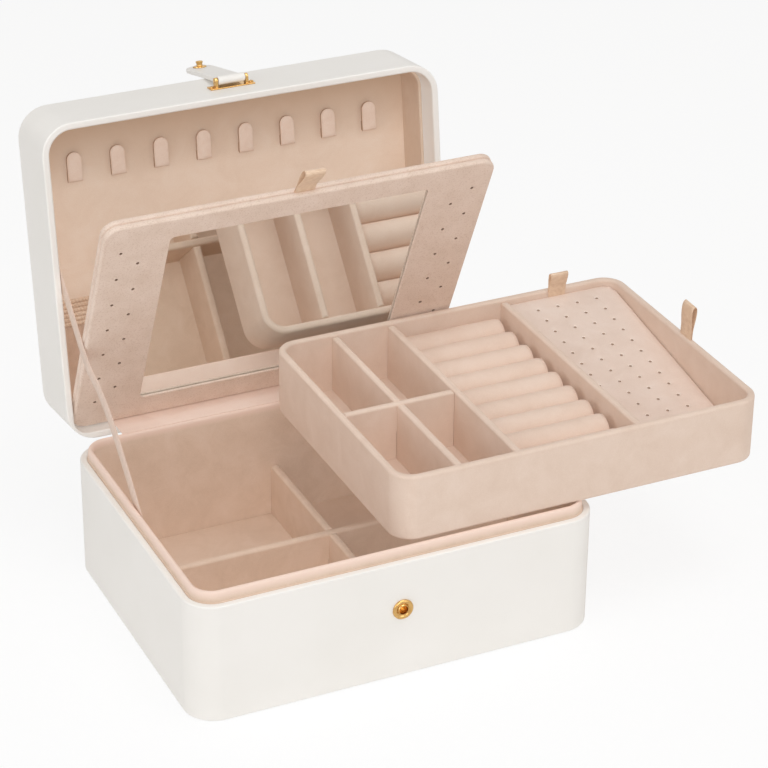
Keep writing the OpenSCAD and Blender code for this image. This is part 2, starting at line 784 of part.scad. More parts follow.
module pivot_pins(r) {
    for (s = [-1, 1])
        translate([s * (panel_w / 2 - pivot_in / 2 + pivot_reach / 2), 0, 0])
            rod(r, pivot_in + pivot_reach);
}

// Length of a pivot pin outside the panel
pivot_reach = pivot_end - pivot_play - panel_w / 2;

module mirror_frame() {
    color("pink") on_panel() difference() {
        panel_board(0, ply_t);
        panel_plate(window_w, window_h, window_r, window_low, -cut, ply_t);
        panel_plate(window_w + 2 * glass_lap, window_h + 2 * glass_lap, window_r,
                    window_low - glass_lap, ply_t - rebate_d, ply_t + cut);
        earring_holes();
        pivot_pins(pivot_r);
    }
}

module mirror_back() {
    color("pink") on_panel() difference() {
        panel_board(ply_t, 2 * ply_t);
        earring_holes();
        pivot_pins(pivot_r);
    }
}

module mirror_glass() {
    lap = glass_lap - glass_fit;
    color("lightsteelblue") on_panel()
        panel_plate(window_w + 2 * lap, window_h + 2 * lap, window_r,
                    window_low - lap, ply_t - glass_t, ply_t);
}

module mirror_pins() {
    color("silver") on_panel() pivot_pins(pivot_r);
}

// Folded ribbon that stands on the middle of the panel's top edge
module mirror_tab() {
    color("burlywood") on_panel() translate([0, 0, panel_h - pivot_up])
        folded_tab(mirror_tab_w, mirror_tab_h);
}

// Tab across X that stands on z = 0 and ends in a round fold
module folded_tab(w, h) {
    translate([-w / 2, -tab_t / 2, 0]) cube([w, tab_t, h - tab_t]);
    translate([0, 0, h - tab_t]) rod(tab_t, w);
}

// ---- tray ----

module tray_walls() {
    color("peachpuff") on_tray() wall_ring(tray_w, tray_d, tray_r, tray_wall, tray_h);
}

module tray_bottom() {
    color("linen") on_tray() slab(well_w, well_d, well_r, tray_bottom_t);
}

module tray_floor() {
    color("tan") on_tray() translate([0, 0, tray_bottom_t])
        slab(well_w, well_d, well_r, tray_pad_t);
}

module tray_divider(x) {
    translate([x - tray_div_t / 2, -well_d / 2 + divider_fit, tray_floor])
        cube([tray_div_t, well_d - 2 * divider_fit, tray_div_top - tray_floor]);
}

module tray_divider_a() {
    mid = (tray_floor + tray_div_top) / 2;
    color("peachpuff") on_tray() difference() {
        tray_divider(-tray_div_a);
        translate([-tray_div_a - tray_div_t, -tray_div_cross - tray_div_t / 2 - divider_fit, mid])
            cube([2 * tray_div_t, tray_div_t + 2 * divider_fit, tray_h]);
    }
}

module tray_divider_b() { color("peachpuff") on_tray() tray_divider(-tray_div_b); }
module tray_divider_c() { color("peachpuff") on_tray() tray_divider(tray_div_c); }

// Side-to-side divider from the left wall to the second divider
module tray_divider_cross() {
    x0 = -well_w / 2 + divider_fit;
    x1 = -tray_div_b - tray_div_t / 2 - divider_fit;
    mid = (tray_floor + tray_div_top) / 2;
    color("peachpuff") on_tray() difference() {
        translate([x0, -tray_div_cross - tray_div_t / 2, tray_floor])
            cube([x1 - x0, tray_div_t, tray_div_top - tray_floor]);
        translate([-tray_div_a - tray_div_t / 2 - divider_fit,
                   -tray_div_cross - tray_div_t, tray_floor - cut])
            cube([tray_div_t + 2 * divider_fit, 2 * tray_div_t, mid - tray_floor + cut]);
    }
}

// Rolls with round tops and upright sides, side by side from front to back
module ring_rolls() {
    crest = tray_h - roll_drop;
    color("mistyrose") on_tray() for (i = [0 : roll_count - 1])
        translate([roll_x0, -well_d / 2 + (i + 0.5) * roll_pitch, 0])
            rotate([90, 0, 90]) linear_extrude(roll_x1 - roll_x0) {
                translate([0, crest - roll_r]) circle(roll_r);
                translate([-roll_r, tray_floor])
                    square([2 * roll_r, crest - roll_r - tray_floor]);
            }
}

// Sloping frame of the pad: origin at the middle of its high edge's top
module on_pad_slope() {
    translate([(pad_x0 + pad_x1) / 2, well_d / 2 - pad_fit, pad_high])
        rotate([pad_slope, 0, 0]) children();
}

module earring_pad() {
    w = pad_x1 - pad_x0;
    l = well_d / cos(pad_slope);
    first = (l - (pad_rows - 1) * pad_row_step) / 2;
    color("pink") on_tray() difference() {
        intersection() {
            slab(well_w - 2 * pad_fit, well_d - 2 * pad_fit, well_r - pad_fit, tray_h);
            on_pad_slope() translate([-w / 2, -l - cut, -pad_t]) cube([w, l + 2 * cut, pad_t]);
        }
        on_pad_slope() for (c = [0 : pad_columns - 1], i = [0 : pad_rows - 1])
            translate([(c - (pad_columns - 1) / 2) * pad_column_step,
                       -first - i * pad_row_step, -pad_t - cut])
                cylinder(r = earring_d / 2, h = pad_t + 2 * cut, $fn = 24);
    }
}

// Two ledges that carry the pad's sides, cut to its slope
module pad_ledges() {
    y1 = well_d / 2 - well_r;
    under = pad_high - pad_t / cos(pad_slope);
    rise = function (y) under - (well_d / 2 - pad_fit - y) * tan(pad_slope);
    color("tan") on_tray() for (x = [pad_x0, pad_x1 - ledge_t])
        translate([x, 0, 0]) rotate([90, 0, 90]) linear_extrude(ledge_t)
            polygon([[-y1, tray_floor], [y1, tray_floor], [y1, rise(y1)], [-y1, rise(-y1)]]);
}

module tray_tab_back() {
    color("burlywood") on_tray()
        translate([tab_back_x, well_d / 2 + tray_wall / 2, tray_h]) folded_tab(tab_w, tab_back_h);
}

module tray_tab_right() {
    color("burlywood") on_tray() translate([well_w / 2 + tray_wall * 0.75, -tab_right_y, tray_h])
        rotate([0, 0, 90]) folded_tab(tab_w, tab_right_h);
}

base_shell();
base_bottom();
base_lining();
base_floor_pad();
base_divider_long();
base_divider_cross();
snap_socket();
snap_washer();
hinge_leaf_base_left();
hinge_leaf_base_right();
hinge_leaf_lid_left();
hinge_leaf_lid_right();
hinge_pin_left();
hinge_pin_right();
hinge_screws_base();
hinge_screws_lid();
hinge_cover();
stay_ribbon();
lid_shell();
lid_lining();
lid_panel();
necklace_hooks();
pouch();
pouch_elastic();
clasp_plate();
clasp_bar();
clasp_screws();
strap();
snap_stud();
snap_cap();
mirror_frame();
mirror_back();
mirror_glass();
mirror_pins();
mirror_tab();
tray_walls();
tray_bottom();
tray_floor();
tray_divider_a();
tray_divider_b();
tray_divider_c();
tray_divider_cross();
ring_rolls();
earring_pad();
pad_ledges();
tray_tab_back();
tray_tab_right();
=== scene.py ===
"""Vanity box with a tilting mirror in its lid and a lift-out tray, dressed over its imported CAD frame."""
import math

import bmesh
import bpy
from mathutils import Matrix, Vector, noise


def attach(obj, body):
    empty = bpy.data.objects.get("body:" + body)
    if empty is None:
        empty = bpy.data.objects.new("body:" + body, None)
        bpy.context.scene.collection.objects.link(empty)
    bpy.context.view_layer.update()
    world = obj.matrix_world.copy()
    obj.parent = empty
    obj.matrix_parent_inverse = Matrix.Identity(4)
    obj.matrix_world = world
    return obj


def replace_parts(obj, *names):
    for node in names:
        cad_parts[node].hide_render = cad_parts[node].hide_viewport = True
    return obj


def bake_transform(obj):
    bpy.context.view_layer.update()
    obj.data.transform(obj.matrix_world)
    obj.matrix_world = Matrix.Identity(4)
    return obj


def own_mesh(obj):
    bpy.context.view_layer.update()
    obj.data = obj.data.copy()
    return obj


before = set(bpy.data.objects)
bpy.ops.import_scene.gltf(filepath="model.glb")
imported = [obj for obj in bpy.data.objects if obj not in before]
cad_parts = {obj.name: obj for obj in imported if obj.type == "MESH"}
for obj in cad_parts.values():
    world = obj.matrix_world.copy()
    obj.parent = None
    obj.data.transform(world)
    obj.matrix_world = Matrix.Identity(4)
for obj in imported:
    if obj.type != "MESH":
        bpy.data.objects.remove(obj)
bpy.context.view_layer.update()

mm = 0.001


# ---- Camera ----
# Stands in front of the box and to its left, a little above it, as the photograph was taken.
camera_azimuth = math.radians(-25.32)
camera_rise = math.radians(28.48)
camera_roll = math.radians(0.6)
camera_far = 1606.5
camera_aim = Vector((32.9, 0, 131.55))
back = Vector((math.sin(camera_azimuth) * math.cos(camera_rise),
               -math.cos(camera_azimuth) * math.cos(camera_rise), math.sin(camera_rise)))
level = Vector((math.cos(camera_azimuth), math.sin(camera_azimuth), 0))
upright = back.cross(level)
right = math.cos(camera_roll) * level + math.sin(camera_roll) * upright
up = math.cos(camera_roll) * upright - math.sin(camera_roll) * level
camera = bpy.data.objects.new("camera", bpy.data.cameras.new("camera"))
# the side of the photograph and the camera's focal length, both in its pixels
photo_side, focal_length = 768, 2796.7
camera.data.sensor_width = 36
camera.data.lens = focal_length / photo_side * camera.data.sensor_width
camera.data.clip_end = 60
camera.matrix_world = Matrix.Translation((camera_aim + camera_far * back) * mm) @ Matrix(
    (right, up, back)).transposed().to_4x4()
bpy.context.collection.objects.link(camera)
bpy.context.scene.camera = camera
bpy.context.scene.view_settings.view_transform = "Standard"


# ---- Floor and light ----
# A white paper floor under a large white tent: the light comes from all round, a little more from
# the front and above, so that the shadows are faint and the white box still shows its edges.
def colour(code):
    """sRGB hex code as linear red, green, blue and 1."""
    parts = [int(code[i:i + 2], 16) / 255 for i in (1, 3, 5)]
    return [p / 12.92 if p <= 0.04045 else ((p + 0.055) / 1.055) ** 2.4 for p in parts] + [1]


def link(node, *sources, **named):
    """Links a node's inputs, in their order or by name with _ for a space, each to an output or to
    the first output of a node."""
    inputs = list(enumerate(sources)) + [(name.replace("_", " "), named[name]) for name in named]
    for place, source in inputs:
        node.id_data.links.new(getattr(source, "outputs", [source])[0], node.inputs[place])


def add_node(tree, kind, settings=None, *sources, **named):
    """Adds a node and its links. A setting is an input, an attribute, or a colour ramp's stops, each
    a place and a hex code."""
    node = tree.nodes.new("ShaderNode" + kind)
    for name, value in (settings or {}).items():
        if name == "stops":
            ramp = node.color_ramp
            while len(ramp.elements) < len(value):
                ramp.elements.new(0.5)
            for element, (place, code) in zip(ramp.elements, value):
                element.position = place
                element.color = colour(code)
        elif name in node.inputs:
            node.inputs[name].default_value = value
        else:
            setattr(node, name, value)
    link(node, *sources, **named)
    return node


tent_glow = 0.42
world = bpy.data.worlds.new("tent")
bpy.context.scene.world = world
world.use_nodes = True
sky = world.node_tree
sky.nodes.clear()
path = add_node(sky, "LightPath")
seen = add_node(sky, "Math", {"operation": "MAXIMUM"}, path.outputs["Is Camera Ray"],
                path.outputs["Is Transmission Ray"])
seen_or_mirrored = add_node(sky, "Math", {"operation": "MAXIMUM"}, seen, path.outputs["Is Glossy Ray"])
tent_light = add_node(sky, "Background", {"Color": colour("#FFFDFA"), "Strength": tent_glow})
tent_seen = add_node(sky, "Background", {"Color": colour("#FFFFFF"), "Strength": 1.0})
tent = add_node(sky, "MixShader", None, seen_or_mirrored, tent_light, tent_seen)
add_node(sky, "OutputWorld", None, tent)

# name, place and size in metres, watts, and whether it throws shadows: the fill lamps lift the shade
# inside the compartments, as the white paper all round does in the photograph
soft_lamps = [
    ("top_soft_lamp", (0.35, -0.45, 2.6), 1.5, 14.0, True),
    ("top_fill_lamp", (0.2, -0.9, 2.3), 1.4, 8.0, False),
    ("front_fill_lamp", (-0.72, -2.0, 1.23), 1.2, 11.8, False),
    ("left_soft_lamp", (-2.1, -0.35, 1.0), 1.1, 6.5, True),
    ("left_fill_lamp", (-2.1, -0.35, 0.9), 1.1, 4.6, False),
    ("right_fill_lamp", (1.25, -1.8, 1.1), 1.1, 5.6, False),
]
lamp_aim = Vector((0.03, 0.0, 0.10))
for name, place, size, watts, throws_shadow in soft_lamps:
    lamp = bpy.data.lights.new(name, "AREA")
    lamp.size, lamp.energy, lamp.use_shadow = size, watts, throws_shadow
    stand = bpy.data.objects.new(name, lamp)
    stand.location = place
    stand.rotation_euler = (lamp_aim - Vector(place)).to_track_quat("-Z", "Y").to_euler()
    bpy.context.collection.objects.link(stand)

# the camera sees the paper mostly as plain white, so that only a faint shadow is left on it
plain_white_share = 0.82
floor_paper = bpy.data.materials.new("white_paper_floor")
floor_paper.use_nodes = True
paper = floor_paper.node_tree
paper.nodes.clear()
paper_path = add_node(paper, "LightPath")
paper_lit = add_node(paper, "BsdfDiffuse", {"Color": colour("#F7F7F7")})
paper_white = add_node(paper, "Emission", {"Color": colour("#FFFFFF"), "Strength": 1.0})
paper_share = add_node(paper, "Math", {"operation": "MULTIPLY"}, paper_path.outputs["Is Camera Ray"])
paper_share.inputs[1].default_value = plain_white_share
paper_mix = add_node(paper, "MixShader", None, paper_share, paper_lit, paper_white)
add_node(paper, "OutputMaterial", None, paper_mix)
floor_reach, floor_drop = 9, 0.0004
floor_corners = [(floor_reach * x, floor_reach * y, -floor_drop)
                 for x, y in ((-1, -1), (1, -1), (1, 1), (-1, 1))]
floor_mesh = bpy.data.meshes.new("floor")
floor_mesh.from_pydata(floor_corners, [], [(0, 1, 2, 3)])
floor_mesh.materials.append(floor_paper)
floor = bpy.data.objects.new("floor", floor_mesh)
bpy.context.collection.objects.link(floor)


# ---- Base box ----
# Four walls of grey board glued up with round corners and wrapped in white imitation leather,
# which is folded over the rim and glued down inside. The bottom board is wrapped the same way.
box_width, box_depth, box_radius = 250, 194, 18.5


def new_material(name, surface):
    """Material with the given inputs of its surface. Returns it with its tree, its shader and the
    place of each point, by which a pattern's scale is how often it repeats in a metre."""
    made = bpy.data.materials.new(name)
    made.use_nodes = True
    shader = made.node_tree.nodes["Principled BSDF"]
    for socket, value in surface.items():
        shader.inputs[socket].default_value = value
    return made, made.node_tree, shader, add_node(made.node_tree, "TexCoord").outputs["Object"]


def bevelled(name, node, body, finish, width, turn=30, rounds=3, softness=None, core=None):
    """Copy of a CAD node with its sharp edges rounded over to the width in mm. Softness gives the
    share of that width for an edge from its middle in mm. Core is a second finish and a test that
    picks its faces by their middle in mm."""
    one_place, one_plane = 0.002 * mm, math.radians(0.6)
    form = bmesh.new()
    form.from_mesh(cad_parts[node].data)
    bmesh.ops.remove_doubles(form, verts=form.verts, dist=one_place)
    bmesh.ops.dissolve_limit(form, angle_limit=one_plane, verts=form.verts, edges=form.edges)
    mesh = bpy.data.meshes.new(name)
    if softness:
        layer = form.edges.layers.float.new("bevel_weight_edge")
        for edge in form.edges:
            if len(edge.link_faces) == 2 and edge.calc_face_angle() > math.radians(turn):
                edge[layer] = softness((edge.verts[0].co + edge.verts[1].co) / 2 / mm)
    mesh.materials.append(finish)
    if core:
        mesh.materials.append(core[0])
    for face in form.faces:
        face.material_index = int(core[1](face.calc_center_median() / mm)) if core else 0
    form.to_mesh(mesh)
    form.free()
    mesh.shade_smooth()
    made = bpy.data.objects.new(name, mesh)
    bpy.context.collection.objects.link(made)
    rounding = made.modifiers.new("rounded edges", "BEVEL")
    rounding.width = width * mm
    rounding.segments = rounds
    rounding.limit_method = "WEIGHT" if softness else "ANGLE"
    rounding.angle_limit = math.radians(turn)
    rounding.use_clamp_overlap = False
    rounding.loop_slide = False
    made.modifiers.new("flat faces stay flat", "WEIGHTED_NORMAL").weight = 90
    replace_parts(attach(made, body), node)
    return made


# White polyurethane leather, embossed and satin: off-white with a soft sheen and a fine pebble grain.
# The real grain is about 0.3 mm; it is drawn at 0.7 mm so that it shows.
leather_grain, leather_cloud = 0.7, 60
leather, tree, shader, place = new_material("white_pu_leather", {
    "Roughness": 0.46, "Specular IOR Level": 0.42})
pebbles = add_node(tree, "TexVoronoi", {"Scale": 1000 / leather_grain, "feature": "SMOOTH_F1"}, Vector=place)
clouds = add_node(tree, "TexNoise", {"Scale": 1000 / leather_cloud, "Detail": 3}, Vector=place)
shades = add_node(tree, "ValToRGB", {"stops": [(0.3, "#ECE9E4"), (0.7, "#F0EDE9")]}, Fac=clouds)
grain = add_node(tree, "Bump", {"Strength": 0.16, "Distance": 0.00006}, Height=pebbles)
rough = add_node(tree, "MapRange", {"To Min": 0.40, "To Max": 0.52}, Value=clouds)
link(shader, Base_Color=shades, Normal=grain, Roughness=rough)

bevelled("box_walls", "base_shell", "base", leather, 1.0, rounds=4)
bevelled("box_bottom", "base_bottom", "base", leather, 0.3)


# ---- Padded lining of the base ----
# Thin foam under pink suede cloth, glued to a loose board that stands in the box. It rises above
# the white rim as a soft round lip that the lid goes over. The floor is a thin pad of the same.
def outline(width, depth, radius, back_radius=None):
    """Points of a rectangle with round corners, in the order of its round; back is +Y."""
    steps = 9
    points = []
    for sx, sy, start in ((1, -1, -90), (1, 1, 0), (-1, 1, 90), (-1, -1, 180)):
        r = back_radius if back_radius and sy > 0 else radius
        for i in range(steps + 1):
            a = math.radians(start + 90 * i / steps)
            points.append((sx * (width / 2 - r) + r * math.cos(a), sy * (depth / 2 - r) + r * math.sin(a)))
    return points


def loft(rings, cap=True):
    """Points and faces of a skin over rings of equally many points."""
    n = len(rings[0])
    points = [p for ring in rings for p in ring]
    faces = [(k * n + i, k * n + (i + 1) % n, (k + 1) * n + (i + 1) % n, (k + 1) * n + i)
             for k in range(len(rings) - 1) for i in range(n)]
    if cap:
        faces.append(tuple(range(n))[::-1])
        faces.append(tuple(range((len(rings) - 1) * n, len(rings) * n)))
    return points, faces


def new_piece(name, skin, place, body, finish, nodes, crease=50):
    """Object made of points in mm and faces, put in its place, which rides on a body, or on none if
    it is to bend between two. Its edges look sharp from the crease, in degrees."""
    points, faces = skin
    mesh = bpy.data.meshes.new(name)
    mesh.from_pydata([(place @ Vector(p)) * mm for p in points], [], faces)
    form = bmesh.new()
    form.from_mesh(mesh)
    bmesh.ops.recalc_face_normals(form, faces=form.faces)
    form.to_mesh(mesh)
    form.free()
    mesh.shade_smooth()
    mesh.set_sharp_from_angle(angle=math.radians(crease))
    mesh.materials.append(finish)
    made = bpy.data.objects.new(name, mesh)
    bpy.context.collection.objects.link(made)
    if body:
        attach(made, body)
    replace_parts(made, *nodes)
    return made


def joined(skins):
    """Several skins as one."""
    points, faces = [], []
    for more_points, more_faces in skins:
        faces += [tuple(i + len(points) for i in face) for face in more_faces]
        points += more_points
    return points, faces


def suede(name, dark, middle, light, brush=16, depth=0.5, shift=None):
    """Microfibre suede: matt, with cloudy marks as wide as the brush where the nap was stroked, and a
    fine fibre. The real fibre is about 0.1 mm; it is drawn coarser so that it shows. Shift gives two
    heights in mm and the colour that the cloth turns to from the first to the second, as painted light
    or painted shade by height."""
    fibre = 0.55
    made, tree, shader, place = new_material(
        name, {"Roughness": 0.92, "Specular IOR Level": 0.18, "Sheen Weight": 0.22, "Sheen Roughness": 0.55,
               "Sheen Tint": colour("#FFE9DC")})
    marks = add_node(tree, "TexNoise", {"Scale": 1000 / brush, "Detail": 4, "Roughness": 0.62,
                                        "Distortion": 0.7}, Vector=place)
    fibres = add_node(tree, "TexNoise", {"Scale": 1000 / fibre, "Detail": 2}, Vector=place)
    nap = add_node(tree, "MixRGB", {"Fac": 0.35}, Color1=marks, Color2=fibres)
    shades = add_node(tree, "ValToRGB", {"stops": [(0.25, dark), (0.5, middle), (0.75, light)]}, Fac=nap)
    bump = add_node(tree, "Bump", {"Strength": depth, "Distance": 0.00012}, Height=fibres)
    if shift:
        low, high, other = shift
        height = add_node(tree, "SeparateXYZ", None, Vector=place)
        share = add_node(tree, "MapRange", {"From Min": low * mm, "From Max": high * mm},
                         Value=height.outputs["Z"])
        shades = add_node(tree, "MixRGB", {"Color2": colour(other)}, Fac=share, Color1=shades)
    link(shader, Base_Color=shades, Normal=bump)
    return made


# Dusty pink suede, painted paler over the top of the lip as painted light, where the lip catches more light.
pink_suede = suede("pink_suede_lining", "#D5BDA9", "#DFC8B5", "#E6D1C1", shift=(75.5, 79.2, "#EFD6C8"))

wall = 4.2
inner_width, inner_depth, inner_radius = box_width - 2 * wall, box_depth - 2 * wall, box_radius - wall
# inset from the inside of the wall and height above the table, round the section of the lining
lining_section = [(3.6, 3.0), (3.6, 12), (3.45, 30), (3.4, 50), (3.5, 70), (3.6, 78.8), (3.45, 79.9),
                  (3.05, 80.65), (2.45, 80.97), (1.8, 80.97), (1.15, 80.6), (0.75, 79.9), (0.62, 79.0),
                  (0.6, 74.6), (0.02, 74.45), (0.0, 73.5), (0.0, 3.0)]


def ring_inside(inset, height):
    """Ring that lies inset from the inside of the walls, at a height."""
    ring = outline(inner_width - 2 * inset, inner_depth - 2 * inset, inner_radius - inset)
    return [(x, y, height) for x, y in ring]


here = Matrix.Identity(4)
lining = new_piece("base_lining_cloth", loft([ring_inside(i, h) for i, h in lining_section], cap=False),
                   here, "base", pink_suede, ["base_lining"])
floor_section = [(3.7, 3.0), (3.7, 4.0), (3.9, 4.35), (4.5, 4.5)]
floor_pad = new_piece("base_floor_cloth", loft([ring_inside(i, h) for i, h in floor_section]),
                      here, "base", pink_suede, ["base_floor_pad"])


# ---- Dividers of the base ----
# Two boards wrapped in suede, halved into each other and pushed between the linings. The cloth
# makes their top edges round.
def round_top(node):
    """Softness of a board that is rounded on its top edges: elsewhere the cloth lies sharper."""
    near_top, sharper = 1, 0.12
    top = max(corner.co.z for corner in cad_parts[node].data.vertices) / mm
    return lambda middle: 1.0 if middle.z > top - near_top else sharper


for name, node in (("long_divider", "base_divider_long"), ("cross_divider", "base_divider_cross")):
    bevelled(name, node, "base", pink_suede, 1.7, rounds=4, softness=round_top(node))


# ---- Snap on the front wall ----
# Pressed brass, gold plated: a domed ring with a hole for the stud, riveted through the wall
# onto a washer inside.
def turned(degrees, axis):
    """Turn by so many degrees about an axis through the origin."""
    return Matrix.Rotation(math.radians(degrees), 4, axis)


def lathe(profile, steps=40):
    """Skin of a profile of (radius, height) turned about Z, closed at both ends."""
    rings = [[(r * math.cos(2 * math.pi * i / steps), r * math.sin(2 * math.pi * i / steps), z)
              for i in range(steps)] for r, z in profile]
    return loft(rings)


# Gold-plated brass, polished and handled: a warm metal with soft smears some 9 mm wide.
smear = 9
gold, tree, shader, place = new_material("gold_plated_brass", {"Metallic": 1.0, "Roughness": 0.24})
smears = add_node(tree, "TexNoise", {"Scale": 1000 / smear, "Detail": 3, "Distortion": 0.5}, Vector=place)
tones = add_node(tree, "ValToRGB", {"stops": [(0.3, "#CB9E5E"), (0.7, "#DDB778")]}, Fac=smears)
rough = add_node(tree, "MapRange", {"To Min": 0.20, "To Max": 0.28}, Value=smears)
link(shader, Base_Color=tones, Roughness=rough)

snap_height = 44.3
on_front_wall = Matrix.Translation((0, -box_depth / 2, snap_height)) @ turned(90, "X")
# radius and height over the wall's face, from behind the wall, over the ring and down the hole
socket_profile = [(3.7, -4.2), (3.7, -0.2), (6.1, 0.0), (6.3, 0.35), (6.15, 0.95), (5.6, 1.4), (4.9, 1.55),
                  (4.3, 1.35), (3.9, 0.95), (3.55, 0.85), (3.3, 1.2), (3.05, 1.55), (2.75, 1.5), (2.6, 1.1),
                  (2.6, -2.9)]
new_piece("snap_socket_ring", lathe(socket_profile), on_front_wall, "base", gold, ["snap_socket"])
bevelled("snap_washer_ring", "snap_washer", "base", gold, 0.2)


# ---- Hinges ----
# Two brass hinges behind the box: leaves screwed on the back walls, knuckles rolled from them,
# and a pin through the knuckles. The screws have round heads with one slot.
for side in ("left", "right"):
    bevelled(f"base_hinge_leaf_{side}", f"hinge_leaf_base_{side}", "base", gold, 0.22, rounds=2)
    bevelled(f"lid_hinge_leaf_{side}", f"hinge_leaf_lid_{side}", "lid", gold, 0.22, rounds=2)
    bevelled(f"hinge_wire_{side}", f"hinge_pin_{side}", "base", gold, 0.15, rounds=2)


def slotted_screw():
    """Round-headed screw: its head's seat at the origin, its head towards +Z."""
    radius, height, slot, shank, length = 1.7, 0.7, 0.5, 0.9, 3.6
    skins = [lathe([(shank, -length), (shank, 0.0), (radius, 0.02), (radius, height * 0.4)], steps=20)]
    for side in (1, -1):
        rings = []
        for share, z in ((1, height * 0.4), (0.92, height * 0.72), (0.7, height * 0.95), (0.4, height)):
            arc = [math.radians(-80 + 160 * i / 12) for i in range(13)]
            r = radius * share
            rings.append([(side * max(r * math.cos(a), slot / 2), side * r * math.sin(a), z) for a in arc])
        skins.append(loft(rings))
    return joined(skins)


def placed(skin, place):
    """A skin moved to its place."""
    return [place @ Vector(p) for p in skin[0]], skin[1]


# the lid's pieces are given as on the shut box, and on_lid opens them about the hinges
hinge_height, lid_open = 74.9, 97.5
hinge_axis = Vector((0, 99, hinge_height))
on_lid = Matrix.Translation(hinge_axis) @ turned(-lid_open, "X") @ Matrix.Translation(-hinge_axis)
hinge_from_middle, screw_aside, screw_from_axis, leaf_face = 70, 10.6, 7.625, 97.8
hinge_screw_x = [side * hinge_from_middle + end * screw_aside for side in (-1, 1) for end in (-1, 1)]
for name, node, side, body, place in (("base_hinge_screws", "hinge_screws_base", -1, "base", here),
                                      ("lid_hinge_screws", "hinge_screws_lid", 1, "lid", on_lid)):
    height = hinge_height + side * screw_from_axis
    # each slot stands at an angle of its own
    screws = [placed(slotted_screw(), Matrix.Translation((x, leaf_face, height))
                     @ turned(-90, "X") @ Matrix.Rotation(x, 4, "Z")) for x in hinge_screw_x]
    new_piece(name, joined(screws), place, body, gold, [node])


# ---- Hinge cover ----
# A strip of the pink suede glued on the lip and on the lid's back wall, which hides the hinges from
# inside and bends as the lid turns.
def strip(middles, across, width, thick, edge):
    """Flat band along its middle line, with round edges. Across gives its direction at each point."""
    rings = []
    for i, middle in enumerate(middles):
        ahead = (middles[min(i + 1, len(middles) - 1)] - middles[max(i - 1, 0)]).normalized()
        side = across[i].normalized()
        face = side.cross(ahead).normalized()
        w, t = width / 2, thick / 2
        section = [(-w + edge, -t), (w - edge, -t), (w, -t * 0.4), (w, t * 0.4), (w - edge, t),
                   (-w + edge, t), (-w, t * 0.4), (-w, -t * 0.4)]
        rings.append([middle + side * a + face * b for a, b in section])
    return loft(rings)


cover_width, cover_half_thick, cover_steps = 190, 0.22, 40
# depth and height of its middle, from the lip over the hinges to the lid's back wall
cover_line = [(90.25, 81.22), (92.5, 81.26), (95, 81.2), (98, 81.22), (100.3, 81.38), (103, 81.05),
              (106.4, 80.6), (110.5, 80.06), (114.8, 79.5)]
rings = []
for k in range(cover_steps + 1):
    x = -cover_width / 2 + cover_width * k / cover_steps
    ring = []
    for side in (1, -1):
        for i, (y, z) in list(enumerate(cover_line))[::side]:
            # its two glued edges lie flat, and the rest is a little uneven
            sag = 0.18 * noise.noise(Vector((x / 11, i * 0.7, 3.1))) * (0 < i < len(cover_line) - 1)
            ring.append((x, y, z + sag + side * cover_half_thick))
    rings.append(ring)
cover_suede = suede("pale_pink_cover_cloth", "#EBD2C4", "#F2DBCE", "#F6E3D8", brush=30)
cover = new_piece("hinge_cover_cloth", loft(rings), here, None, cover_suede, ["hinge_cover"])
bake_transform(cover)


# ---- Stay ribbon ----
# A narrow satin ribbon, glued to the lid's side wall behind the mirror panel and to the inside of
# the lip of the base. It is taut when the lid is open and stops it there.
def satin(name, dark, light):
    """Satin ribbon, woven from glossy threads: a soft shine with fine lines across it. The real
    threads are about 0.15 mm apart; they are drawn wider so that they show."""
    thread, slub = 0.45, 2.6
    # the scale at which a band of the wave texture is about two threads wide, a light and a dark one
    band_scale = 1000 / thread / 6.28
    made, tree, shader, place = new_material(
        name, {"Roughness": 0.36, "Specular IOR Level": 0.5, "Sheen Weight": 0.15, "Sheen Roughness": 0.4,
               "Sheen Tint": colour("#FFEBD4"), "Anisotropic": 0.4})
    threads = add_node(tree, "TexWave", {"Scale": band_scale, "Distortion": 1.2, "Detail": 2,
                                         "Detail Scale": 3, "bands_direction": "Z"}, Vector=place)
    slubs = add_node(tree, "TexNoise", {"Scale": 1000 / slub, "Detail": 3}, Vector=place)
    tone = add_node(tree, "MixRGB", {"Fac": 0.7}, Color1=threads.outputs["Fac"], Color2=slubs)
    shades = add_node(tree, "ValToRGB", {"stops": [(0.3, dark), (0.7, light)]}, Fac=tone)
    bump = add_node(tree, "Bump", {"Strength": 0.25, "Distance": 0.00008}, Height=threads.outputs["Fac"])
    link(shader, Base_Color=shades, Normal=bump)
    return made


stay_satin = satin("tan_satin_ribbon", "#D8BDAB", "#E4CBBB")


def spline(stations, per_span):
    """Smooth line through points (Catmull-Rom), with so many steps from each to the next."""
    line = []
    for i in range(len(stations) - 1):
        a, b = stations[max(i - 1, 0)], stations[i]
        c, d = stations[i + 1], stations[min(i + 2, len(stations) - 1)]
        for k in range(per_span):
            t = k / per_span
            line.append(0.5 * (2 * b + (c - a) * t + (2 * a - 5 * b + 4 * c - d) * t * t
                               + (3 * b - a - 3 * c + d) * t ** 3))
    return line + [stations[-1]]


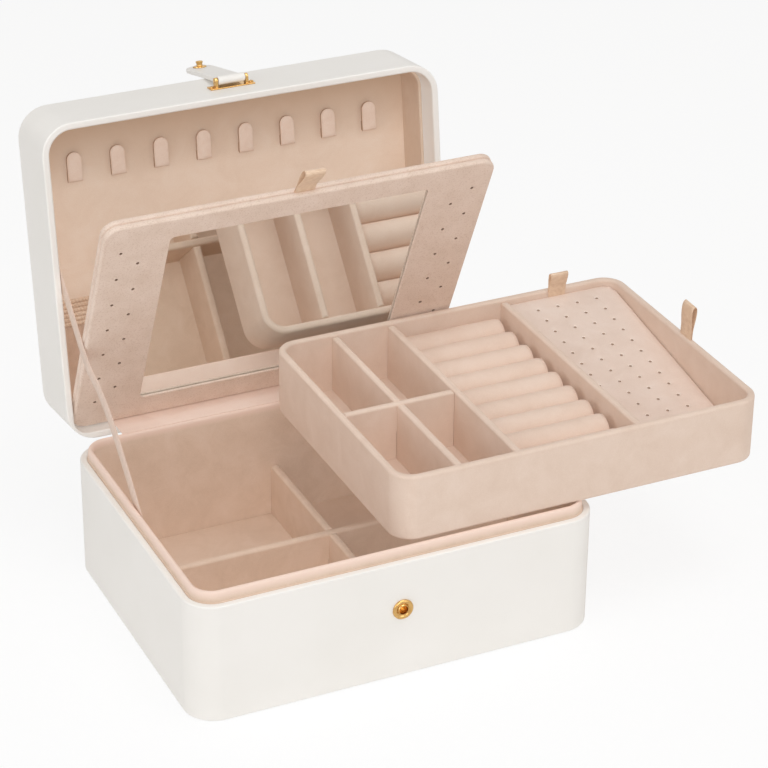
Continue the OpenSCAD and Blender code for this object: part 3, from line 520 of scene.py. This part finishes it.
# share of the way from the lid to the lip, and place from side to side: it runs beside the panel,
# leans in to the lip and lies flat against the lip's inner face
ribbon_way = [(0, -120.4), (0.2, -120.4), (0.42, -120.3), (0.53, -118.0), (0.66, -116.7), (0.86, -116.5),
              (1, -116.8), (1.07, -116.95), (1.14, -116.95)]
ribbon_top, ribbon_lip = Vector((-120.4, 123.04, 184.70)), Vector((-116.9, 8.6, 81.5))
stations = [ribbon_top.lerp(ribbon_lip, share) for share, x in ribbon_way]
for station, (share, x) in zip(stations, ribbon_way):
    station.x = x
along_side_wall = Vector((1, 0, 0)).cross((ribbon_lip - ribbon_top).normalized())
ribbon_points = spline(stations, 6)
ribbon_skin = strip(ribbon_points, [along_side_wall] * len(ribbon_points), width=10, thick=0.36, edge=0.15)
ribbon = new_piece("lid_stay_ribbon", ribbon_skin, here, None, stay_satin, ["stay_ribbon"])
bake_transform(ribbon)


# ---- Lid ----
# A shallow box of the same wrapped board. Its inside is lined with suede up to a ledge, and the
# mirror panel folds into the bare white band in front of that ledge.
lid_low, lid_high, lid_inside_high, lid_back_radius = 75.3, 120.3, 116.8, 9
# inset and rise of its edges, which are rounded over by 1 mm
lid_round = [(1 - math.cos(a), 1 - math.sin(a)) for a in (math.radians(22.5 * k) for k in range(5))]
inside_rings = [[(x, y, z) for x, y in outline(inner_width + 2 * grow, inner_depth + 2 * grow,
                                               inner_radius + grow, lid_back_radius + grow)]
                for grow, z in [(0, lid_inside_high)] + [(g, lid_low + h) for g, h in lid_round]]
outside_rings = [[(x, y, z) for x, y in outline(box_width - 2 * inset, box_depth - 2 * inset,
                                                box_radius - inset)]
                 for inset, z in [(g, lid_low + h) for g, h in reversed(lid_round)]
                 + [(g, lid_high - h) for g, h in lid_round]]
lid_shell = new_piece("lid_shell_walls", loft(inside_rings + outside_rings), on_lid, "lid", leather,
                      ["lid_shell"], crease=70)
lid_shell.modifiers.new("flat faces stay flat", "WEIGHTED_NORMAL").weight = 90
# The same suede, painted lighter on the lid's panel as painted light, and darker towards the top of the open
# lid as a painted shadow under the lid's top wall. On the lid's walls it is painted darker as painted shade.
lid_suede_painted_light_and_shadow = suede("pink_suede_lid", "#ECD7C4", "#F3E0CE", "#F8E9DA", brush=22, shift=(212, 260, "#BEA187"))
lid_wall_suede_painted_shade = suede("pink_suede_lid_walls", "#D6C0AC", "#DEC9B6", "#E5D3C3")
bevelled("lid_lining_cloth", "lid_lining", "lid", lid_wall_suede_painted_shade, 0.7)
bevelled("lid_back_panel", "lid_panel", "lid", lid_suede_painted_light_and_shadow, 0.5)


# ---- Necklace hooks ----
# Eight tongues of board wrapped in suede over a little padding. Each is glued to the lid's panel at
# its straight lower end and stands off it at its round upper end, so that a chain hangs behind it.
lid_panel_at = 115.3


def pillow(shape, low, high, swell):
    """Flat padded form over a closed outline: a soft edge of the given swell and a crowned face."""
    cx = sum(p[0] for p in shape) / len(shape)
    cy = sum(p[1] for p in shape) / len(shape)
    half = min(max(p[0] for p in shape) - cx, max(p[1] for p in shape) - cy)
    rings = [[(cx + (x - cx) * (1 - inset / half), cy + (y - cy) * (1 - inset / half), z) for x, y in shape]
             for inset, z in ((swell * 0.35, low), (0, low + swell * 0.4), (0, high - swell),
                              (swell * 0.3, high - swell * 0.3), (swell, high), (half * 0.6, high + 0.1))]
    return loft(rings)


hook_count, hook_step, hook_height = 8, 27.1, 147
hook_wide, hook_long, hook_crown, hook_thick, hook_swell = 9.1, 18.0, 3.9, 2.5, 0.8
foot_wide, foot_long, foot_high = 8.3, 5.6, 2.8
half, foot_half = hook_wide / 2, foot_wide / 2
tongue = [(-half, 0), (-half, hook_long - half)]
tongue += [(-half * math.cos(math.radians(a)), hook_long - half + half * math.sin(math.radians(a)))
           for a in range(12, 180, 12)]
tongue += [(half, hook_long - half), (half, 0)]
foot = [(-foot_half, 0.1), (-foot_half, foot_long), (foot_half, foot_long), (foot_half, 0.1)]
# up the open lid is -Y of the shut lid, and out of its panel is -Z
hook_skins = []
for i in range(hook_count):
    x = (i - (hook_count - 1) / 2) * hook_step
    # hand-glued, so none stands quite straight
    lean = 2.2 * noise.noise(Vector((i * 1.7, 0.3, 0)))
    at = (Matrix.Translation((x, box_depth / 2 - hook_height, lid_panel_at)) @ turned(lean, "Z")
          @ turned(180, "X"))
    hook_skins.append(placed(pillow(tongue, hook_crown - hook_thick, hook_crown, hook_swell), at))
    hook_skins.append(placed(loft([[(x, y, z) for x, y in foot] for z in (0.0, foot_high)]), at))
hook_suede = suede("pale_suede_hooks", "#ECD5C4", "#F2DECF", "#F7E7DA", brush=7)
hooks = new_piece("necklace_hook_tongues", joined(hook_skins), on_lid, "lid", hook_suede,
                  ["necklace_hooks"], crease=60)
# The turned edges of the hooks, painted darker as painted shade.
hooks.data.materials.append(suede("hook_edges_painted_shade", "#A98A73", "#B3957E", "#BEA18B", brush=7))
out_of_panel = on_lid.to_3x3() @ Vector((0, 0, -1))
# faces that turn away from the panel's face take the painted shade
for face in hooks.data.polygons:
    face.material_index = int(face.normal.dot(out_of_panel) < 0.35)


# ---- Pouch ----
# A pocket of gathered suede cloth along the foot of the lid, which catches the ends of necklaces.
# Its mouth is held by a band of shirred elastic: rows of stitches that draw the cloth into puffs.
pouch_half, pouch_out, pouch_low, pouch_mouth, band_high = 118.6, 8.3, 6.2, 77, 17
gather_step, puff_wide, puff_high = 3.1, 2.1, 2.83


def pouch_skin(from_h, to_h, rows, across_step, relief, cloth):
    """Cloth between two heights above the lid's back wall. Relief gives how far it swells at a
    place along the band and up it; cloth is its thickness."""
    corner, flat_over = 4.0, 3
    bend = math.pi / 2 * corner
    flank = pouch_out - corner
    whole = 2 * (flank + bend + pouch_half - corner)
    columns = int(whole / across_step)
    rings = []
    for c in range(columns + 1):
        s = whole * c / columns
        # x is across the lid, d out of its panel, and nx and nd are the way out of the cloth there
        from_end, side = min(s, whole - s), math.copysign(1, s - whole / 2)
        if from_end < flank:
            x, d, nx, nd = side * pouch_half, from_end, side, 0
        elif from_end < flank + bend:
            a = (from_end - flank) / corner
            x, d = side * (pouch_half - corner * (1 - math.cos(a))), flank + corner * math.sin(a)
            nx, nd = side * math.cos(a), math.sin(a)
        else:
            x, d, nx, nd = s - whole / 2, pouch_out, 0, 1
        ring = []
        for face in (0, 1):
            for row in (range(rows + 1) if face == 0 else range(rows, -1, -1)):
                h = from_h + (to_h - from_h) * row / rows
                swell = relief(s, h) * min(1, d / flat_over) - face * cloth
                ring.append((x + nx * min(swell, 0), box_depth / 2 - h,
                             lid_panel_at - max(d + nd * swell, 0.05)))
        rings.append(ring)
    return loft(rings)


def gathers(s, h):
    """Upright folds that run down from the elastic and fade out towards the foot."""
    fade_from, fade_over = 14, 40
    fade = max(0, min(1, (h - fade_from) / fade_over))
    wander = 2.2 * noise.noise(Vector((s / 30, h / 26, 1.7)))
    fold = math.sin(2 * math.pi * (s + wander) / gather_step)
    wide = math.sin(2 * math.pi * (s + 2 * wander) / (gather_step * 2.7))
    return (0.28 * fold + 0.32 * wide) * fade - 0.25 + 0.6 * noise.noise(Vector((s / 22, h / 18, 9.2)))


def puffs(s, h):
    """Grid of small puffs between the rows of elastic thread."""
    v = (h - (pouch_mouth - band_high)) / puff_high
    wander = 0.9 * noise.noise(Vector((s / 17, h / 9, 4.4)))
    u = (s + wander) / puff_wide + 0.5 * (int(v) % 2)
    return 0.95 * (abs(math.sin(math.pi * u)) * abs(math.sin(math.pi * v))) ** 0.7 - 0.75


# Darker copies of the suede, as painted shade: the pouch lies in the lid's shade, and the band stands for
# the shaded gaps between its puffs.
pouch_suede_painted_shade = suede("gathered_suede_painted_shade", "#C2A48D", "#CEB29D", "#D6BDAA", brush=9)
band_suede_painted_shade = suede("shirred_suede_painted_shade", "#CDB096", "#DAC0A9", "#E6D0BC", brush=9)
pouch_body = pouch_skin(pouch_low, pouch_mouth - band_high, rows=34, across_step=0.75, relief=gathers,
                        cloth=0.5)
pouch = new_piece("necklace_pouch", pouch_body, on_lid, "lid", pouch_suede_painted_shade, ["pouch"])
pouch_band = pouch_skin(pouch_mouth - band_high, pouch_mouth, rows=42, across_step=0.42, relief=puffs,
                        cloth=0.8)
band = new_piece("pouch_elastic_band", pouch_band, on_lid, "lid", band_suede_painted_shade, ["pouch_elastic"])


# ---- Clasp ----
# A stamped brass plate on the lid's front wall with two posts and a bar. The strap hangs from
# the bar; here it is laid back over the lid's front.
bevelled("clasp_plate_casting", "clasp_plate", "lid", gold, 0.25, rounds=2)
bevelled("clasp_bar_wire", "clasp_bar", "lid", gold, 0.3)
clasp_height, clasp_face, clasp_screw_x = 95.3, 97.8, 12.4
clasp_screws = [placed(slotted_screw(), Matrix.Translation((x, -clasp_face, clasp_height))
                       @ turned(90, "X") @ Matrix.Rotation(0.5 * x, 4, "Z"))
                for x in (-clasp_screw_x, clasp_screw_x)]
new_piece("clasp_plate_screws", joined(clasp_screws), on_lid, "lid", gold, ["clasp_screws"])


# ---- Strap ----
# Two layers of the white leather glued together round the bar, with rounded edges. A snap cap and
# its stud are riveted through its round end.
bevelled("closing_strap", "strap", "strap", leather, 0.5, turn=40)
bar_face, strap_back, stud_from_bar = 101.5, 186.8, 51.0
at_stud = (on_lid @ Matrix.Translation((0, -bar_face, clasp_height)) @ turned(-strap_back, "X")
           @ Matrix.Translation((0, 0, -stud_from_bar)))
# radius and height over the strap's middle
stud_profile = [(2.2, -1.3), (2.2, 1.3), (4.0, 1.35), (4.2, 1.6), (4.1, 1.95), (3.6, 2.15), (2.6, 2.1),
                (1.9, 2.4), (1.75, 3.4), (2.15, 4.3), (2.2, 4.75), (1.8, 5.15), (0.9, 5.3)]
cap_profile = [(6.0, 1.3), (6.3, 1.5), (6.25, 1.95), (5.8, 2.4), (4.6, 2.65), (2.4, 2.72), (0.8, 2.72)]
new_piece("snap_stud_turned", lathe(stud_profile), at_stud @ turned(-90, "X"), "strap", gold, ["snap_stud"])
new_piece("snap_cap_disc", lathe(cap_profile), at_stud @ turned(90, "X"), "strap", gold, ["snap_cap"])


# ---- Mirror panel ----
# Two boards wrapped in suede and glued back to back, so that a groove runs between their round
# edges. The front board holds the glass in a window, and both have small holes for earrings.
# The panel turns on two steel pins in the lid's side walls.

# the pivot in the shut lid; from it, X is across the panel, Y through it and Z up it
pivot, panel_turn = (0, 88.4, 86.3), 122.4
on_panel = on_lid @ Matrix.Translation(pivot) @ turned(panel_turn, "X")
off_panel = on_panel.inverted()
panel_half, panel_top, panel_foot, board_thick, window_edge = 120.0, 176.8, -2.2, 3.8, 84


def panel_softness(middle):
    """Wide rounding on the boards' outside, a small one on the window, and a fine one on the holes."""
    near_outside, near_face = 4, 0.4
    x, y, z = off_panel @ middle
    if min(panel_half - abs(x), panel_top - z, z - panel_foot) < near_outside:
        return 1.0 if abs(abs(y) - board_thick) < near_face or abs(y) < near_face else 0.0
    return 0.42 if abs(x) < window_edge else 0.16


# Suede whose cloth shows a speckle of darker fibres, drawn at 0.9 mm so that it shows.
brush, speck = 14, 0.9
speckled, tree, shader, place = new_material("speckled_pink_suede", {
    "Roughness": 0.9, "Specular IOR Level": 0.2, "Sheen Weight": 0.2, "Sheen Roughness": 0.5,
    "Sheen Tint": colour("#FFE9DC")})
marks = add_node(tree, "TexNoise", {"Scale": 1000 / brush, "Detail": 4, "Roughness": 0.6}, Vector=place)
specks = add_node(tree, "TexNoise", {"Scale": 1000 / speck, "Detail": 2, "Roughness": 0.7}, Vector=place)
nap = add_node(tree, "ValToRGB", {"stops": [(0.3, "#DEC8B8"), (0.7, "#E8D4C6")]}, Fac=marks)
dots = add_node(tree, "ValToRGB", {"stops": [(0.34, "#C9AF9C"), (0.47, "#FFFFFF")]}, Fac=specks)
cloth = add_node(tree, "MixRGB", {"Fac": 0.3, "blend_type": "MULTIPLY"}, Color1=nap, Color2=dots)
bump = add_node(tree, "Bump", {"Strength": 0.5, "Distance": 0.00012}, Height=specks)
link(shader, Base_Color=cloth, Normal=bump)


def in_earring_hole(middle):
    """Whether a face lies on the inside of a punched hole, and not on the panel's faces or edges. The
    holes are in the side margins, and the panel's own edges lie outside of these bounds."""
    x, y, z = off_panel @ middle
    across = min(abs(y - face) for face in (-board_thick, 0, board_thick))
    return 88 < abs(x) < 112 and 3 < z < 170 and across > 0.5


# Bare grey board, seen only in the punched holes: its own grey, tinted brown as painted light bounced from
# the suede round it; dull, with a fine pulp.
pulp_grain = 0.6
board_core_and_painted_light, tree, shader, place = new_material("grey_board_and_painted_bounce", {
    "Roughness": 0.95, "Specular IOR Level": 0.1})
pulp = add_node(tree, "TexNoise", {"Scale": 1000 / pulp_grain, "Detail": 3}, Vector=place)
tones = add_node(tree, "ValToRGB", {"stops": [(0.3, "#8B7464"), (0.7, "#A48D7B")]}, Fac=pulp)
link(shader, Base_Color=tones)

for name, node in (("mirror_front_board", "mirror_frame"), ("mirror_back_board", "mirror_back")):
    bevelled(name, node, "mirror", speckled, 1.5, rounds=4, softness=panel_softness,
             core=(board_core_and_painted_light, in_earring_hole))

# Silvered float glass: clean and clear, a touch grey-green, with a faint haze some 40 mm wide.
haze_wide = 40
silver, tree, shader, place = new_material("silvered_glass", {
    "Metallic": 1.0, "Roughness": 0.015, "Base Color": colour("#F2F4F2")})
haze = add_node(tree, "TexNoise", {"Scale": 1000 / haze_wide, "Detail": 3}, Vector=place)
rough = add_node(tree, "MapRange", {"To Min": 0.01, "To Max": 0.03}, Value=haze)
link(shader, Roughness=rough)
bevelled("mirror_pane", "mirror_glass", "mirror", silver, 0.3)

# Drawn steel wire, cut and bright, with fine marks of the drawing.
draw_mark = 0.8
steel, tree, shader, place = new_material("bright_steel_wire", {"Metallic": 1.0, "Roughness": 0.3})
drawn = add_node(tree, "TexNoise", {"Scale": 1000 / draw_mark, "Detail": 2}, Vector=place)
tones = add_node(tree, "ValToRGB", {"stops": [(0.3, "#A9A9A8"), (0.7, "#C9C9C7")]}, Fac=drawn)
link(shader, Base_Color=tones)
bevelled("mirror_pivot_wires", "mirror_pins", "mirror", steel, 0.2, rounds=2)


# ---- Pull tabs ----
# Loops of tan satin ribbon, folded over and glued between the boards, one to tilt the mirror and
# two to lift the tray. Each stands up with a soft round fold at its top.
def folded_loop(width, height, bulge, lean, sink=3.0):
    """Ribbon that goes up, folds over and comes down: across X, its foot at z = 0 and its ends sunk
    below that. Bulge is half its greatest thickness, and lean is how far its top hangs over."""
    half_loop = [(0.45, -sink), (0.45, 0), (0.5, height * 0.3), (bulge * 0.85, height * 0.62),
                 (bulge, height * 0.84), (bulge * 0.72, height * 0.955), (0, height)]
    line = [Vector((0, y, z)) for y, z in half_loop]
    line += [Vector((0, -y, z)) for y, z in reversed(half_loop[:-1])]
    line = spline(line, 5)
    leant = []
    for p in line:
        share = max(p.z, 0) / height
        leant.append(Vector((lean[0] * share ** 1.3, p.y + lean[1] * share ** 1.4, p.z)))
    across = [Vector((1, 0.02 * math.sin(i / 7), 0)) for i in range(len(leant))]
    return strip(leant, across, width, thick=0.34, edge=0.2)


tab_satin = satin("tan_satin_tab", "#D3B397", "#E9CEB4")
mirror_tab = new_piece("mirror_pull_tab", folded_loop(12.5, 19, bulge=2.0, lean=(2.0, -3.0)),
                       on_panel @ Matrix.Translation((0, 0, panel_top)), "mirror", tab_satin, ["mirror_tab"])
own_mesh(mirror_tab)

tray_at = Matrix.Translation((117.15, 0, 81.2))
tray_half_deep, tray_half_wide, tray_high = 88.8, 116.8, 41
# each is put where it leaves the top of its wall
back_tab = new_piece("tray_back_tab", folded_loop(12, 13.5, bulge=1.5, lean=(0.5, -1.2), sink=4),
                     tray_at @ Matrix.Translation((73.5, tray_half_deep - 4.6, tray_high - 1.8)), "tray",
                     tab_satin, ["tray_tab_back"])
right_tab = new_piece("tray_right_tab", folded_loop(12, 22, bulge=1.6, lean=(0.0, -1.6)),
                      tray_at @ Matrix.Translation((tray_half_wide - 2.2, -4, tray_high - 0.3))
                      @ turned(90, "Z"), "tray", tab_satin, ["tray_tab_right"])


# ---- Tray ----
# A lift-out tray of board wrapped in the same suede inside and out, with three dividers across it
# and one along its left end. It stands on the lip of the base, set to the right.
tray_suede = suede("pink_suede_tray", "#D8C0AF", "#DFC9B9", "#E5D1C3", brush=20)
bevelled("tray_wall_board", "tray_walls", "tray", tray_suede, 1.8, rounds=5)
bevelled("tray_bottom_board", "tray_bottom", "tray", tray_suede, 0.5)
bevelled("tray_floor_cloth", "tray_floor", "tray", tray_suede, 0.4)
for letter in ("a", "b", "c", "cross"):
    node = f"tray_divider_{letter}"
    bevelled(f"tray_board_{letter}", node, "tray", tray_suede, 1.5, rounds=4,
             softness=round_top(node))


# ---- Ring rolls ----
# Nine foam rods in suede sleeves, laid side by side and pressed together, so that rings are held
# in the clefts between them. Their right ends are tucked in round.
roll_suede = suede("pink_suede_rolls", "#DAC1B0", "#E1CABA", "#E6D2C4", brush=24)
roll_count, roll_crest, roll_step, first_side = 9, 33, 168.6 / 9, -84.3
roll_radius, roll_from, roll_to, roll_foot = roll_step / 2 - 0.15, -37.45, 31.75, 3.6
tuck_over, start_over, roll_steps, arc_steps = 3.5, 2, 28, 32
roll_skins = []
for i in range(roll_count):
    y0 = first_side + (i + 0.5) * roll_step
    rings = []
    for k in range(roll_steps + 1):
        x = roll_from + (roll_to - roll_from) * k / roll_steps
        end = max(0.0, (x - (roll_to - tuck_over)) / tuck_over)
        start = max(0.0, (roll_from + start_over - x) / start_over)
        shrink = math.sqrt(max(0.0, 1 - (end * 0.93) ** 2)) * math.sqrt(max(0.0, 1 - (start * 0.75) ** 2))
        narrow = 0.25 + 0.75 * shrink
        # the crest wanders and the foam swells a little unevenly
        crest = roll_crest + 0.21 * noise.noise(Vector((x / 26, i * 3.3, 0.4)))
        r = roll_radius * (1 + 0.018 * noise.noise(Vector((x / 14, i * 2.1, 5.5))))
        ring = []
        for j in range(arc_steps + 1):
            a = math.radians(-20 + 220 * j / arc_steps)
            ring.append((x, y0 + min(r, roll_radius) * math.cos(a) * narrow,
                         crest - r + r * math.sin(a) * shrink - (1 - shrink) * 2.5))
        for side in (-1, 1):
            ring.append((x, y0 + side * roll_radius * 0.8 * narrow, roll_foot))
        rings.append(ring)
    roll_skins.append(loft(rings))
rolls = new_piece("ring_roll_cushions", joined(roll_skins), tray_at, "tray", roll_suede, ["ring_rolls"],
                  crease=70)


# ---- Earring pad ----
# A board under thin foam and suede, punched with rows of small holes for earring posts. It slopes
# down to the front on two ledges. The cloth puckers into each hole.
pad_left, pad_right, pad_back, pad_high = 39.55, 112.0, 84.0, 37
pad_high_at = Vector(((pad_left + pad_right) / 2, pad_back, pad_high))
pad_wide, pad_slope = pad_right - pad_left, math.radians(9.7)
pad_long, pad_thick, pad_corner = 2 * pad_back / math.cos(pad_slope), 3.0, 9.2
# across from the pad's middle, and down from its back edge
hole_x = [(c - 1.5) * 13.7 for c in range(4)]
hole_y = [-10.77 - i * 11.5 for i in range(14)]
hole_radius, hole_deep, rim_radius, pucker_deep, pucker_reach = 0.86, 2.7, 0.98, 0.45, 0.6
# how far from a hole the grid's squares are made quite round, and how far they are changed at all
round_to, round_reach = 1.35, 3
edge_drop, edge_reach, wave_high, wave_long = 0.9, 1.4, 0.22, 13
# grid lines about the middle of a hole: inside it, on its wall, on its rim and on the puckers
ladder = [-3, -2, -1.35, -1.0, -0.85, -0.45, 0, 0.45, 0.85, 1.0, 1.35, 2, 3]


def grid_lines(low, high, holes):
    """Grid lines from low to high, close together at the holes."""
    coarse = 3.0
    edges = [low, low + 0.35, low + 1.2, high - 1.2, high - 0.35, high]
    fixed = sorted(edges + [hole + step for hole in holes for step in ladder])
    lines = [fixed[0]]
    for value in fixed[1:]:
        gap = value - lines[-1]
        parts = max(1, round(gap / coarse))
        lines += [lines[-1] + gap * (k + 1) / parts for k in range(parts)] if gap > 1e-6 else []
    return lines


def pad_point(x, y):
    """Place on the pad's face, drawn in at the holes and rounded off at the edges, and its distance
    from the middle of the next hole."""
    hx = min(hole_x, key=lambda h: abs(h - x))
    hy = min(hole_y, key=lambda h: abs(h - y))
    dx, dy = x - hx, y - hy
    most = max(abs(dx), abs(dy))
    sink, r = 0.0, most
    if most <= round_reach:
        circle = most / math.hypot(dx, dy) if most > 1e-6 else 1
        share = 1 - max(0, (most - round_to) / (round_reach - round_to))
        dx, dy = dx * (1 + (circle - 1) * share), dy * (1 + (circle - 1) * share)
        r = math.hypot(dx, dy)
        sink = hole_deep
        if r >= hole_radius:
            # uneven puckers round the hole
            a = math.atan2(dy, dx)
            sink = pucker_deep * math.exp(-(max(r, rim_radius) - rim_radius) / pucker_reach)
            sink *= 1 + 0.35 * noise.noise(Vector((3 * math.cos(a), 3 * math.sin(a), hx + hy)))
        x, y = hx + dx, hy + dy
    from_edge = min(pad_wide / 2 - abs(x), -y, y + pad_long)
    drop = edge_drop * (1 - min(from_edge, edge_reach) / edge_reach) ** 2
    wave = wave_high * noise.noise(Vector((x / wave_long, y / wave_long, 2.2)))
    return x, y, wave - sink - drop, r


xs = grid_lines(-pad_wide / 2, pad_wide / 2, hole_x)
ys = grid_lines(-pad_long, 0, sorted(hole_y))
columns, rows = len(xs), len(ys)
# middles of its round corners
corner_x = pad_wide / 2 - pad_corner
corner_back, corner_front = -9.3, 9.3 - pad_long
pad_points, from_hole = [], []
for y in ys:
    for x in xs:
        px, py, pz, far = pad_point(x, y)
        from_hole.append(far)
        # the two right corners follow the tray's round corners
        for corner_y, beyond in ((corner_back, py - corner_back), (corner_front, corner_front - py)):
            if px > corner_x and beyond > 0:
                out = math.hypot(px - corner_x, py - corner_y)
                if out > pad_corner:
                    px = corner_x + (px - corner_x) * pad_corner / out
                    py = corner_y + (py - corner_y) * pad_corner / out
        pad_points.append((px, py, pz))
pad_faces = [(j * columns + i, j * columns + i + 1, (j + 1) * columns + i + 1, (j + 1) * columns + i)
             for j in range(rows - 1) for i in range(columns - 1)]
# the face's edge, once round, and the board's sides and underside from it
rim = list(range(columns)) + [j * columns + columns - 1 for j in range(1, rows)]
rim += [(rows - 1) * columns + i for i in range(columns - 2, -1, -1)]
rim += [j * columns for j in range(rows - 2, 0, -1)]
under = len(pad_points)
pad_points += [(pad_points[i][0], pad_points[i][1], -pad_thick) for i in rim]
for k, corner in enumerate(rim):
    after = (k + 1) % len(rim)
    pad_faces.append((corner, rim[after], under + after, under + k))
pad_faces.append(tuple(range(under, under + len(rim))))
on_slope = tray_at @ Matrix.Translation(pad_high_at) @ Matrix.Rotation(pad_slope, 4, "X")
pad_suede = suede("pink_suede_pad", "#DBC5B7", "#E3CFC2", "#E9D8CD", brush=18, depth=0.6)
pad = new_piece("earring_pad_cushion", (pad_points, pad_faces), on_slope, "tray", pad_suede, ["earring_pad"],
                crease=75)
# Suede drawn down into the holes, darkened as painted shade, and painted lighter round their rims as a
# painted highlight.
pad.data.materials.append(suede("shaded_suede_in_holes", "#AE9685", "#BAA291", "#C5AE9D", brush=3))
pad.data.materials.append(suede("hole_rims_painted_highlight", "#EBDACD", "#F1E3D8", "#F5E9E0", brush=3))
# how near a hole the painted shade reaches, and then the painted highlight
hole_edge, highlight_ring_edge = 0.99, 1.3
for face in pad.data.polygons:
    if all(corner < under for corner in face.vertices):
        nearest = min(from_hole[corner] for corner in face.vertices)
        face.material_index = 1 if nearest < hole_edge else 2 if nearest < highlight_ring_edge else 0
bevelled("earring_pad_ledges", "pad_ledges", "tray", tray_suede, 0.4)
